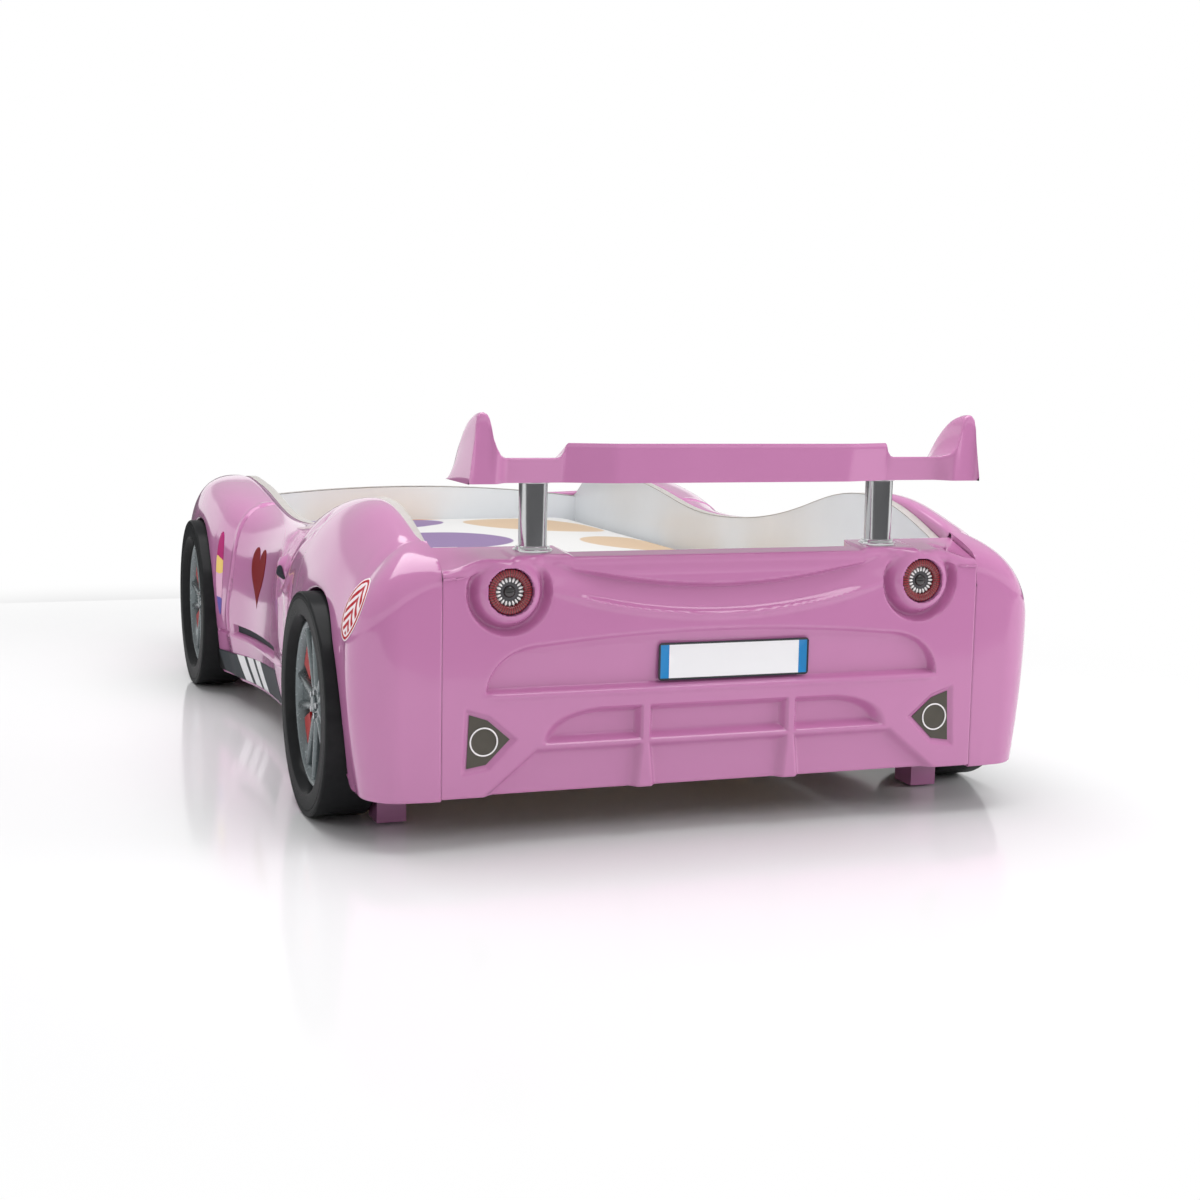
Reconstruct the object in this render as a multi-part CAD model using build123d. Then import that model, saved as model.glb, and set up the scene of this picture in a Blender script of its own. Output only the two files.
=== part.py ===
from build123d import *
import math
import os

# Car-shaped child's bed: gloss moulded shells over white laminated boards, four fixed wheels,
# a rear spoiler on two tube posts, a slatted base and a mattress.
# Frame: X forward, Y to the left, Z up, millimetres, origin on the floor under the middle of the bed.

# Mattress and the well that it lies in
MATTRESS_LENGTH = 1900.0
MATTRESS_WIDTH = 900.0
MATTRESS_THICKNESS = 140.0
MATTRESS_CORNER = 45.0
MATTRESS_EDGE = 14.0
MATTRESS_DRAW_IN = 5.0
MATTRESS_CROWN = 12.0
WELL_CLEARANCE = 10.0
WELL_REAR_X = -990.0
SOFT_GAP = 0.3

# Laminated boards
BOARD = 18.0
BOARD_BOTTOM_Z = 100.0
REAR_BOARD_RISE = 4.0
FRONT_BOARD_EDGE_Z = 393.0
FRONT_BOARD_RISE = 30.0

# Slatted base
SLAT_COUNT = 13
SLAT_WIDTH = 68.0
SLAT_THICKNESS = 12.0
BEAM_WIDTH = 36.0
BEAM_HEIGHT = 24.0
RAIL_WIDTH = 30.0
RAIL_HEIGHT = 40.0
SLAT_TOP_Z = 210.0
BASE_SIDE_GAP = 3.0

# Moulded shells
WALL = 4.0
REAR_OVERHANG = 93.0
SEAM_INSET = 5.0
SEAM_GAP = 1.0
SHELL_BOTTOM_Z = 86.0
REAR_CORNER_RADIUS = 75.0
FENDER_BULGE = 132.0
CROWN_OFFSET_Y = 10.0
INNER_LIP_DROP = 5.0
TUCK_IN = 22.0
TUCK_POWER = 1.6
HUMP_INSET = 172.0
WAIST_FORWARD = 105.0
FIT_GAP = 0.3
CUT_MARGIN = 1.0

# Rear panel
REAR_TOP_Z = 469.0
REAR_EDGE_RADIUS = 14.0
LEDGE_DEPTH = 45.0
POST_BOSS_WIDTH = 104.0
POST_BOSS_DEPTH = 52.0
PANEL_POCKET = 9.0

# Hollows of the rear panel: heights above the floor, drops below its top, insets from its seams
PLATE_RECESS_LOW_Z = 254.0
PLATE_RECESS_HIGH_Z = 326.0
PLATE_RECESS_INSET = 75.0
PLATE_RECESS_SHOULDER = 93.0
GRILLE_RIB_Y = 130.0
GRILLE_RIB = 18.0
UPPER_BAY_LOW_Z = 169.0
UPPER_BAY_HIGH_Z = 219.0
UPPER_BAY_INSET = 173.0
UPPER_BAY_SHOULDER = 95.0
LOWER_BAY_HIGH_Z = 157.0
LOWER_BAY_INSET = 71.0
LOWER_BAY_SLANT = 86.0
CRESCENT_INSET = 223.0
CRESCENT_TIP_DROP = 37.0
CRESCENT_ROOF_DROP = 57.0
CRESCENT_LOW_DROP = 95.0

# Wheels
REAR_AXLE_INSET = 213.0
FRONT_AXLE_INSET = 442.0
WHEEL_DIAMETER = 380.0
WHEEL_FLOOR_GAP = 1.0
ARCH_CLEARANCE = 11.5
TYRE_WIDTH = 97.0
TYRE_BAND = 48.0
TYRE_SHOULDER = 6.0
TYRE_BEVEL = 9.0
TYRE_WALL = 5.0
TYRE_FACE = 20.0
RIM_RECESS = 16.0
RIM_THICKNESS = 26.0
RIM_LIP = 14.0
SPOKES = 5
SPOKE_WIDTH = 30.0
FORK_WIDTH = 14.0
FORK_SPREAD = 24.0
SPOKE_BACK = 8.0
SPOKE_DROP = 4.0
HUB_RADIUS = 33.0
HUB_DROP = 6.0
HUB_CAP_HEIGHT = 5.0
DISC_RADIUS = 108.0
DISC_THICKNESS = 6.0
DISC_STANDOFF = 39.0
CARRIER_RADIUS = 60.0
CALIPER_LENGTH = 110.0
CALIPER_DEPTH = 14.0
CALIPER_BAND = 34.0
WHEEL_BOLT_CIRCLE = 21.0
WHEEL_BOLT = 7.0
WHEEL_BOLT_LENGTH = 6.0
WHEEL_BOLT_HEAD = 4.0
WHEEL_BOLT_BRIM = 1.5

# Legs
LEG_LENGTH = 60.0
LEG_WIDTH = 50.0
LEG_TOP_Z = 190.0
LEG_CLEARANCE = 7.0
LEG_SETBACK = 75.0
GLIDE_DIAMETER = 34.0
GLIDE_HEIGHT = 4.0

# Spoiler
POST_SETBACK = 35.0
POST_HEIGHT = 115.0
POST_INSET = 135.0
POST_DIAMETER = 46.0
POST_WALL = 2.5
FLANGE_DIAMETER = 64.0
FLANGE_HEIGHT = 10.0
COLLAR_DIAMETER = 52.0
COLLAR_HEIGHT = 5.0
WING_OVERHANG = 41.0
WING_CHORD = 134.0
WING_HALF_SPAN = 445.0
WING_END_HEIGHT = 40.0
WING_CENTRE_HEIGHT = 64.0
WING_CENTRE_HALF = 282.0
WING_RAKE = 8.0
WING_LIP = 9.0
WING_EDGE_HEIGHT = 24.0
FIN_HEIGHT = 110.0
FIN_THICKNESS = 38.0
FIN_TIP_LENGTH = 12.0
FIN_TIP_ROUND = 8.0
FIN_TIP_THICKNESS = 24.0
FIN_ELBOW_BACK = 46.0
FIN_ELBOW_RISE = 66.0
FIN_ROOT_FLARE = 26.0
SPOILER_BOLT = 8.0
SPOILER_BOLT_HEAD = 5.6

# Lamps, exhaust inserts and plate on the rear panel
TAIL_INSET = 108.0
TAIL_DROP = 56.0
TAIL_RECESS_RADIUS = 66.0
TAIL_COLLAR_RADIUS = 49.0
TAIL_LENS_RADIUS = 36.0
TAIL_CORE_RADIUS = 22.0
TAIL_LENS_DEPTH = 12.0
TAIL_LENS_PROUD = 2.0
TAIL_DISH_DEPTH = 3.0
TAIL_DOME_RADIUS = 11.0
EXHAUST_INSET = 41.0
EXHAUST_Z = 175.0
EXHAUST_THICKNESS = 3.0
EXHAUST_SEAT = 4.0
EXHAUST_RING_INSET = 28.0
EXHAUST_RING_RADIUS = 23.0
EXHAUST_RING_WIRE = 1.6
PLATE_WIDTH = 270.0
PLATE_HEIGHT = 62.0
PLATE_THICKNESS = 1.5
PLATE_CORNER = 6.0
PLATE_SHIFT_Y = -27.0

# Nose
NOSE_LENGTH = 194.0
HEADLAMP_INSET = 78.0
HEADLAMP_Z = 292.0
HEADLAMP_RADIUS = 60.0
HEADLAMP_SETBACK = 80.0
HEADLAMP_BOWL_DEPTH = 16.0
HEADLAMP_DISH_RADIUS = 24.0
HEADLAMP_LENS = 5.0
GRILLE_WIDTH = 440.0
GRILLE_HEIGHT = 84.0
GRILLE_DEPTH = 39.0
GRILLE_MARGIN = 4.0
GRILLE_PLATE = 3.0
GRILLE_Z = 168.0
GRILLE_BARS = 9
GRILLE_BAR = 6.0
GRILLE_BAR_DEPTH = 11.0

# Fixings
BRACKET_LEG = 40.0
BRACKET_THICKNESS = 3.0
BRACKET_HEIGHT = 46.0
SCREW_HEAD = 8.0
SCREW_HEAD_HEIGHT = 2.5
RAIL_SCREW_COUNT = 6
RAIL_SCREW_INSET = 80.0

# Values worked out from the sizes above
WELL_LENGTH = MATTRESS_LENGTH + 2 * WELL_CLEARANCE
WELL_HALF = MATTRESS_WIDTH / 2 + WELL_CLEARANCE
WELL_FRONT_X = WELL_REAR_X + WELL_LENGTH
WELL_MIDDLE_X = (WELL_REAR_X + WELL_FRONT_X) / 2
BOARD_OUTER_Y = WELL_HALF + BOARD
BOARD_REAR_X = WELL_REAR_X - BOARD
BOARD_FRONT_X = WELL_FRONT_X + BOARD
REAR_BOARD_TOP_Z = REAR_TOP_Z + REAR_BOARD_RISE
REAR_FACE_X = BOARD_REAR_X - REAR_OVERHANG
REAR_SEAM_Y = BOARD_OUTER_Y - SEAM_INSET
FENDER_SIDE_Y = BOARD_OUTER_Y + FENDER_BULGE
HUMP_X = BOARD_REAR_X + HUMP_INSET
REAR_AXLE_X = BOARD_REAR_X + REAR_AXLE_INSET
FRONT_AXLE_X = BOARD_FRONT_X - FRONT_AXLE_INSET
WAIST_X = (HUMP_X + FRONT_AXLE_X) / 2 + WAIST_FORWARD
WHEEL_RADIUS = WHEEL_DIAMETER / 2
WHEEL_Z = WHEEL_FLOOR_GAP + WHEEL_RADIUS
ARCH_RADIUS = WHEEL_RADIUS + ARCH_CLEARANCE
RIM_RADIUS = WHEEL_RADIUS - TYRE_BAND
LEG_Y = BOARD_OUTER_Y + LEG_WIDTH / 2
WELL_PLATE_Y = BOARD_OUTER_Y + LEG_WIDTH + LEG_CLEARANCE
DISC_FACE_Y = WELL_PLATE_Y + DISC_STANDOFF + DISC_THICKNESS
WHEEL_OUTER_Y = WELL_PLATE_Y + TYRE_WIDTH
RIM_FACE_Y = WHEEL_OUTER_Y - RIM_RECESS
RIM_BACK_Y = RIM_FACE_Y - RIM_THICKNESS
POST_X = BOARD_REAR_X - POST_SETBACK
POST_Y = WING_HALF_SPAN - POST_INSET
POST_TOP_Z = REAR_TOP_Z + POST_HEIGHT
WING_REAR_X = REAR_FACE_X - WING_OVERHANG
WING_FRONT_X = WING_REAR_X + WING_CHORD
FIN_TIP_Z = POST_TOP_Z + FIN_HEIGHT
TAIL_Y = REAR_SEAM_Y - TAIL_INSET
TAIL_Z = REAR_TOP_Z - TAIL_DROP
EXHAUST_Y = REAR_SEAM_Y - EXHAUST_INSET
PLATE_Z = (PLATE_RECESS_LOW_Z + PLATE_RECESS_HIGH_Z) / 2
NOSE_X = BOARD_FRONT_X + NOSE_LENGTH
HEADLAMP_Y = BOARD_OUTER_Y - HEADLAMP_INSET
HEADLAMP_BACK_X = NOSE_X - HEADLAMP_SETBACK
GRILLE_SEAT_X = NOSE_X - GRILLE_DEPTH
BEAM_TOP_Z = SLAT_TOP_Z - SLAT_THICKNESS
RAIL_TOP_Z = BEAM_TOP_Z - BEAM_HEIGHT
CUT_HEIGHT = 2 * REAR_TOP_Z
HALF_BEND = math.cos(math.pi / 4)
AXLES = {"rear": REAR_AXLE_X, "front": FRONT_AXLE_X}
SIDES = {"left": 1, "right": -1}

# Top line of the side boards, x and height: the front corner, front fender, waist and rear hump
BOARD_TOP_LINE = [
    (BOARD_FRONT_X, FRONT_BOARD_EDGE_Z), (BOARD_FRONT_X - 40, 412), (BOARD_FRONT_X - 71, 431),
    (FRONT_AXLE_X + 234, 462), (FRONT_AXLE_X + 114, 474), (FRONT_AXLE_X, 470), (FRONT_AXLE_X - 85, 465),
    (FRONT_AXLE_X - 242, 446), (FRONT_AXLE_X - 320, 435), (WAIST_X + 116, 425), (WAIST_X - 46, 429),
    (HUMP_X + 545, 449), (HUMP_X + 375, 485), (HUMP_X + 249, 516), (HUMP_X + 171, 526),
    (HUMP_X + 96, 527), (HUMP_X - 4, 511), (HUMP_X - 80, 487), (BOARD_REAR_X, 452),
]

# Side shell stations: x, crown height, inset of the widest point from the fender side, height of
# the widest point, bottom, fullness of the roll
SHELL_STATIONS = [
    (BOARD_FRONT_X, 428, 62, 300, 82, 2.0),
    (BOARD_FRONT_X - 76, 452, 32, 300, 66, 2.0),
    (FRONT_AXLE_X + 229, 470, 10, 300, 56, 2.2),
    (FRONT_AXLE_X + 94, 476, 0, 305, 50, 2.6),
    (FRONT_AXLE_X - 56, 468, 0, 310, 52, 3.0),
    (FRONT_AXLE_X - 216, 449, 6, 305, 56, 3.0),
    (FRONT_AXLE_X - 386, 429, 38, 300, 60, 2.6),
    (WAIST_X, 427, 50, 300, 65, 2.5),
    (HUMP_X + 596, 443, 44, 300, 70, 2.4),
    (HUMP_X + 436, 472, 26, 305, 75, 2.2),
    (HUMP_X + 286, 508, 7, 310, 79, 2.0),
    (HUMP_X + 146, 529, 0, 315, 82, 1.9),
    (HUMP_X + 16, 528, 0, 315, 84, 1.8),
    (HUMP_X - 84, 508, 0, 312, 85, 1.7),
    (HUMP_X - 184, 486, 0, 310, SHELL_BOTTOM_Z, 1.7),
    (REAR_FACE_X - 20, 464, 0, 310, SHELL_BOTTOM_Z, 1.7),
]

# Shares of the way round the roll and down the side at which a shell section has its points
ROLL_SHARES = (0.35, 0.6, 0.8, 0.93)
SIDE_SHARES = (0.45, 1.0)

# Nose stations: share of the nose's length, bonnet middle, fender crown, inset of the crown from the
# board's face, inset of the side from the fender side, height of the side, bottom
NOSE_STATIONS = [
    (0.0, 404, 428, 0, 62, 300, 82),
    (0.31, 394, 412, 16, 78, 290, 86),
    (0.62, 366, 380, 48, 112, 270, 92),
    (0.85, 318, 328, 98, 164, 236, 98),
    (1.0, 246, 252, 168, 238, 196, 108),
]
BONNET_DISH_PLACE = 0.55
BONNET_DISH_RISE = 0.3
NOSE_SHOULDER_IN = 0.18
NOSE_SHOULDER_DROP = 0.45
NOSE_TUCK = 17.0

# Exhaust insert: corners as inset from its outer edge and height over the middle of its ring
EXHAUST_CORNERS = [(0, -42), (4, 44), (34, 34), (71, 2), (32, -37)]

# Mattress crown: share of the half width in from the edge, share of the crown's height
CROWN_STEPS = [(0.13, 0.45), (0.38, 0.85), (0.67, 1.0)]


def section_plane(x):
    """Plane across the bed at x, with Y to its right and Z up."""
    return Plane(origin=(x, 0, 0), x_dir=(0, 1, 0), z_dir=(1, 0, 0))


def side_plane(y):
    """Plane along the bed at y, seen from the right: X to its right and Z up."""
    return Plane(origin=(0, y, 0), x_dir=(1, 0, 0), z_dir=(0, -1, 0))


def box_between(x0, x1, y0, y1, z0, z1):
    """Block between two corners, given in any order."""
    size = Box(abs(x1 - x0), abs(y1 - y0), abs(z1 - z0))
    return Pos((x0 + x1) / 2, (y0 + y1) / 2, (z0 + z1) / 2) * size


def cylinder_y(x, z, radius, y0, y1):
    """Round bar along Y between y0 and y1."""
    disc = side_plane(y0) * Pos(x, z) * Circle(radius)
    return extrude(disc, amount=y1 - y0, dir=(0, 1, 0))


def cylinder_x(y, z, radius, x0, x1):
    """Round bar along X between x0 and x1."""
    disc = section_plane(x0) * Pos(y, z) * Circle(radius)
    return extrude(disc, amount=x1 - x0, dir=(1, 0, 0))


def cylinder_z(x, y, radius, z0, z1):
    """Round bar along Z between z0 and z1."""
    disc = Plane.XY.offset(z0) * Pos(x, y) * Circle(radius)
    return extrude(disc, amount=z1 - z0, dir=(0, 0, 1))


def pair(solid):
    """The left-hand solid and its mirror image on the right."""
    return {"left": solid, "right": mirror(solid, about=Plane.XZ)}


def closed(points):
    """Straight edges round a list of points."""
    return [Line(a, b) for a, b in zip(points, points[1:] + points[:1])]


# Boards: two shaped sides, with the end boards between them

def side_board():
    outline = Curve() + [
        Spline(*BOARD_TOP_LINE),
        Line(BOARD_TOP_LINE[-1], (BOARD_REAR_X, BOARD_BOTTOM_Z)),
        Line((BOARD_REAR_X, BOARD_BOTTOM_Z), (BOARD_FRONT_X, BOARD_BOTTOM_Z)),
        Line((BOARD_FRONT_X, BOARD_BOTTOM_Z), BOARD_TOP_LINE[0]),
    ]
    face = side_plane(WELL_HALF) * make_face(outline.edges())
    return extrude(face, amount=BOARD, dir=(0, 1, 0))


def rear_board():
    return box_between(BOARD_REAR_X, WELL_REAR_X, -WELL_HALF, WELL_HALF, BOARD_BOTTOM_Z, REAR_BOARD_TOP_Z)


def front_board():
    """End board with a bowed top edge."""
    crest = FRONT_BOARD_EDGE_Z + FRONT_BOARD_RISE
    outline = Curve() + [
        Line((-WELL_HALF, BOARD_BOTTOM_Z), (WELL_HALF, BOARD_BOTTOM_Z)),
        Line((WELL_HALF, BOARD_BOTTOM_Z), (WELL_HALF, FRONT_BOARD_EDGE_Z)),
        ThreePointArc((WELL_HALF, FRONT_BOARD_EDGE_Z), (0, crest), (-WELL_HALF, FRONT_BOARD_EDGE_Z)),
        Line((-WELL_HALF, FRONT_BOARD_EDGE_Z), (-WELL_HALF, BOARD_BOTTOM_Z)),
    ]
    face = section_plane(WELL_FRONT_X) * make_face(outline.edges())
    return extrude(face, amount=BOARD, dir=(1, 0, 0))


# Side shells: a hollow fender moulding, open towards the board and at the bottom

def shell_section(station, wall):
    """Closed section of the fender at one station, drawn in by the wall."""
    x, crown, inset, widest_z, bottom, fullness = station
    inner_y = BOARD_OUTER_Y - wall
    crown_y = BOARD_OUTER_Y + CROWN_OFFSET_Y
    top = crown - wall
    side = FENDER_SIDE_Y - inset - wall
    low = bottom - wall
    points = [(inner_y, top - INNER_LIP_DROP), (crown_y, top)]
    for share in ROLL_SHARES:
        drop = (1 - share ** fullness) ** (1 / fullness)
        points.append((crown_y + share * (side - crown_y), widest_z + drop * (top - widest_z)))
    points.append((side, widest_z))
    for share in SIDE_SHARES:
        points.append((side - TUCK_IN * share ** TUCK_POWER, widest_z + share * (low - widest_z)))
    corner = (inner_y, low)
    edges = [Spline(*points), Line(points[-1], corner), Line(corner, points[0])]
    return section_plane(x) * make_face(Curve() + edges)


def shell_plan(grow):
    """Plan outline with the round rear corner, as a tall block."""
    radius = REAR_CORNER_RADIUS + grow
    rear = REAR_FACE_X - grow
    side = FENDER_SIDE_Y + grow
    inner = REAR_SEAM_Y + SEAM_GAP + min(grow, 0) * 2
    front = BOARD_FRONT_X + CUT_MARGIN
    inner_front = min(inner, BOARD_OUTER_Y - WALL - CUT_MARGIN) - CUT_MARGIN
    centre = (rear + radius, side - radius)
    bend = (centre[0] - radius * HALF_BEND, centre[1] + radius * HALF_BEND)
    edges = [
        Line((front, inner_front), (front, side)),
        Line((front, side), (centre[0], side)),
        ThreePointArc((centre[0], side), bend, (rear, centre[1])),
        Line((rear, centre[1]), (rear, inner)),
        Line((rear, inner), (BOARD_REAR_X, inner)),
        Line((BOARD_REAR_X, inner), (BOARD_REAR_X, inner_front)),
        Line((BOARD_REAR_X, inner_front), (front, inner_front)),
    ]
    return extrude(make_face(Curve() + edges), amount=CUT_HEIGHT, dir=(0, 0, 1))


def wheel_well(grow):
    """Round pockets over both wheels, from the plate outwards."""
    wells = [
        cylinder_y(x, WHEEL_Z, ARCH_RADIUS + grow, WELL_PLATE_Y - grow, FENDER_SIDE_Y + TYRE_WIDTH)
        for x in AXLES.values()
    ]
    return wells[0] + wells[1]


def side_shell():
    body = loft([shell_section(station, 0) for station in SHELL_STATIONS]) & shell_plan(0)
    cavity = loft([shell_section(station, WALL) for station in SHELL_STATIONS]) & shell_plan(-WALL)
    hollow = cavity - wheel_well(WALL)
    shell = body - hollow - wheel_well(0)
    behind_board = box_between(BOARD_REAR_X, BOARD_FRONT_X + 2 * CUT_MARGIN, 0, BOARD_OUTER_Y, 0, CUT_HEIGHT)
    return shell - behind_board


# Rear panel: a pocketed moulding with a narrow ledge and two bosses for the spoiler posts

def pocket(outline, depth):
    """Prism sunk into the rear face from behind."""
    face = section_plane(REAR_FACE_X - CUT_MARGIN) * make_face(Curve() + outline)
    return extrude(face, amount=depth + CUT_MARGIN, dir=(1, 0, 0))


def quarter_bend(end, low, shoulder, high):
    """Middle point of a quarter-round end from (end, low) up to (end - shoulder, high)."""
    return end - shoulder * (1 - HALF_BEND), low + (high - low) * HALF_BEND


def plate_recess():
    """Flat-bottomed recess behind the plate with quarter-round ends."""
    low = PLATE_RECESS_LOW_Z
    high = PLATE_RECESS_HIGH_Z
    end = REAR_SEAM_Y - PLATE_RECESS_INSET
    top_end = end - PLATE_RECESS_SHOULDER
    bend_y, bend_z = quarter_bend(end, low, PLATE_RECESS_SHOULDER, high)
    return [
        Line((-end, low), (end, low)),
        ThreePointArc((end, low), (bend_y, bend_z), (top_end, high)),
        Line((top_end, high), (-top_end, high)),
        ThreePointArc((-top_end, high), (-bend_y, bend_z), (-end, low)),
    ]


def grille_recesses():
    """Six bays of the lower rear grille between ribs; the lower three run out at the bottom edge."""
    bays = []
    middle = GRILLE_RIB_Y - GRILLE_RIB / 2
    bottom = SHELL_BOTTOM_Z - CUT_MARGIN
    for low, high in ((UPPER_BAY_LOW_Z, UPPER_BAY_HIGH_Z), (bottom, LOWER_BAY_HIGH_Z)):
        bays.append(closed([(-middle, low), (middle, low), (middle, high), (-middle, high)]))
    inner = GRILLE_RIB_Y + GRILLE_RIB / 2
    end = REAR_SEAM_Y - UPPER_BAY_INSET
    top_end = end - UPPER_BAY_SHOULDER
    low, high = UPPER_BAY_LOW_Z, UPPER_BAY_HIGH_Z
    bend_y, bend_z = quarter_bend(end, low, UPPER_BAY_SHOULDER, high)
    lower_end = REAR_SEAM_Y - LOWER_BAY_INSET
    for sign in SIDES.values():
        bays.append([
            Line((sign * inner, low), (sign * end, low)),
            ThreePointArc((sign * end, low), (sign * bend_y, bend_z), (sign * top_end, high)),
            Line((sign * top_end, high), (sign * inner, high)),
            Line((sign * inner, high), (sign * inner, low)),
        ])
        bays.append(closed([
            (sign * inner, bottom), (sign * lower_end, bottom),
            (sign * (lower_end - LOWER_BAY_SLANT), LOWER_BAY_HIGH_Z), (sign * inner, LOWER_BAY_HIGH_Z),
        ]))
    return bays


def exhaust_outline(sign):
    """Five-sided insert, its tip towards the middle of the bed."""
    return closed([(sign * (EXHAUST_Y - inset), EXHAUST_Z + rise) for inset, rise in EXHAUST_CORNERS])


def crescent():
    """Shallow bow-shaped hollow under the top edge."""
    end = REAR_SEAM_Y - CRESCENT_INSET
    tip = REAR_TOP_Z - CRESCENT_TIP_DROP
    return [
        ThreePointArc((-end, tip), (0, REAR_TOP_Z - CRESCENT_LOW_DROP), (end, tip)),
        ThreePointArc((end, tip), (0, REAR_TOP_Z - CRESCENT_ROOF_DROP), (-end, tip)),
    ]


def rear_outline():
    """Side view of the rear panel: upright face, round top edge and ledge."""
    rear = REAR_FACE_X
    top = REAR_TOP_Z
    front = REAR_FACE_X + LEDGE_DEPTH
    low = SHELL_BOTTOM_Z
    edge = REAR_EDGE_RADIUS
    bend = edge * (1 - HALF_BEND)
    edges = [
        Line((rear, low), (rear, top - edge)),
        ThreePointArc((rear, top - edge), (rear + bend, top - bend), (rear + edge, top)),
        Line((rear + edge, top), (front, top)),
        Line((front, top), (front, low)),
        Line((front, low), (rear, low)),
    ]
    return make_face(Curve() + edges)


def rear_shell():
    half = REAR_SEAM_Y
    face = REAR_FACE_X
    shell = extrude(side_plane(-half) * rear_outline(), amount=2 * half, dir=(0, 1, 0))
    skin = face + PANEL_POCKET + WALL
    shell -= box_between(skin, skin + LEDGE_DEPTH, WALL - half, half - WALL, 0, REAR_TOP_Z - WALL)
    for outline in [plate_recess(), crescent()] + grille_recesses():
        shell -= pocket(outline, PANEL_POCKET)
    for sign in SIDES.values():
        y = sign * TAIL_Y
        moat = cylinder_x(y, TAIL_Z, TAIL_RECESS_RADIUS, face - CUT_MARGIN, face + PANEL_POCKET)
        moat -= cylinder_x(y, TAIL_Z, TAIL_COLLAR_RADIUS, face - 2 * CUT_MARGIN, face + LEDGE_DEPTH)
        shell -= moat
        shell -= cylinder_x(y, TAIL_Z, TAIL_LENS_RADIUS, face - CUT_MARGIN, face + TAIL_LENS_DEPTH)
        shell -= pocket(exhaust_outline(sign), EXHAUST_SEAT + EXHAUST_THICKNESS)
        shell += post_boss(sign)
    return shell


def post_boss(sign):
    """Shelf from the ledge to the rear board that carries one spoiler post."""
    y = sign * POST_Y
    half = POST_BOSS_WIDTH / 2
    start = REAR_FACE_X + LEDGE_DEPTH - CUT_MARGIN
    low = REAR_TOP_Z - POST_BOSS_DEPTH
    shelf = box_between(start, BOARD_REAR_X, y - half, y + half, low, REAR_TOP_Z)
    core_half = half - WALL
    core = box_between(start - CUT_MARGIN, BOARD_REAR_X - WALL, y - core_half, y + core_half,
                       low - CUT_MARGIN, REAR_TOP_Z - WALL)
    hole = cylinder_z(POST_X, y, SPOILER_BOLT / 2, REAR_TOP_Z - WALL - CUT_MARGIN, REAR_TOP_Z + CUT_MARGIN)
    return shelf - core - hole


# Nose: bonnet, fender ends, lamps and bumper in one moulding

def nose_section(station, wall, tip_wall):
    """Bonnet section: dished middle, two fender crowns, round sides, flat bottom."""
    share, middle, crown, crown_inset, side_inset, side_z, bottom = station
    x = BOARD_FRONT_X + share * (NOSE_LENGTH - tip_wall)
    crown_y = BOARD_OUTER_Y - crown_inset
    side = FENDER_SIDE_Y - side_inset
    dish = (crown_y * BONNET_DISH_PLACE, middle + (crown - middle) * BONNET_DISH_RISE - wall)
    shoulder_y = side - wall - (side - crown_y) * NOSE_SHOULDER_IN
    shoulder_z = crown - (crown - side_z) * NOSE_SHOULDER_DROP
    left = [(0, middle - wall), dish, (crown_y, crown - wall), (shoulder_y, shoulder_z),
            (side - wall, side_z), (side - wall - NOSE_TUCK, bottom - wall)]
    right = [(-y, z) for y, z in reversed(left[1:])]
    points = right + left
    edges = [Spline(*points), Line(points[-1], points[0])]
    return section_plane(x) * make_face(Curve() + edges)


def grille_mouth(grow):
    """Round-ended opening in the bumper, drawn larger by grow."""
    wide = GRILLE_WIDTH + 2 * grow
    tall = GRILLE_HEIGHT + 2 * grow
    face = section_plane(NOSE_X + CUT_MARGIN) * Pos(0, GRILLE_Z) * RectangleRounded(wide, tall, tall * 0.4)
    return extrude(face, amount=GRILLE_DEPTH + CUT_MARGIN + grow, dir=(-1, 0, 0))


def headlamp_socket(sign, grow):
    """Round socket for one headlamp, drawn larger by grow."""
    return cylinder_x(sign * HEADLAMP_Y, HEADLAMP_Z, HEADLAMP_RADIUS + grow, HEADLAMP_BACK_X - grow,
                      NOSE_X + CUT_MARGIN)


def front_shell():
    body = loft([nose_section(station, 0, 0) for station in NOSE_STATIONS])
    cavity = loft([nose_section(station, WALL, WALL) for station in NOSE_STATIONS])
    shell = body - grille_mouth(0)
    cavity -= grille_mouth(WALL)
    for sign in SIDES.values():
        cavity -= headlamp_socket(sign, WALL)
        shell -= headlamp_socket(sign, 0)
    return shell - cavity


# Slatted base and the rails that carry it

def slat_rail():
    return box_between(WELL_REAR_X, WELL_FRONT_X, WELL_HALF - RAIL_WIDTH, WELL_HALF,
                       RAIL_TOP_Z - RAIL_HEIGHT, RAIL_TOP_Z)


def base_beam():
    outer = WELL_HALF - BASE_SIDE_GAP
    return box_between(WELL_REAR_X + BASE_SIDE_GAP, WELL_FRONT_X - BASE_SIDE_GAP,
                       outer - BEAM_WIDTH, outer, RAIL_TOP_Z, BEAM_TOP_Z)


def slats():
    first = WELL_REAR_X + BASE_SIDE_GAP + SLAT_WIDTH / 2
    last = WELL_FRONT_X - BASE_SIDE_GAP - SLAT_WIDTH / 2
    pitch = (last - first) / (SLAT_COUNT - 1)
    half = WELL_HALF - BASE_SIDE_GAP
    rows = []
    for index in range(SLAT_COUNT):
        x = first + index * pitch
        rows.append(box_between(x - SLAT_WIDTH / 2, x + SLAT_WIDTH / 2, -half, half, BEAM_TOP_Z, SLAT_TOP_Z))
    return rows


# Mattress: crowned top, sides drawn in between the corners

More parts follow.
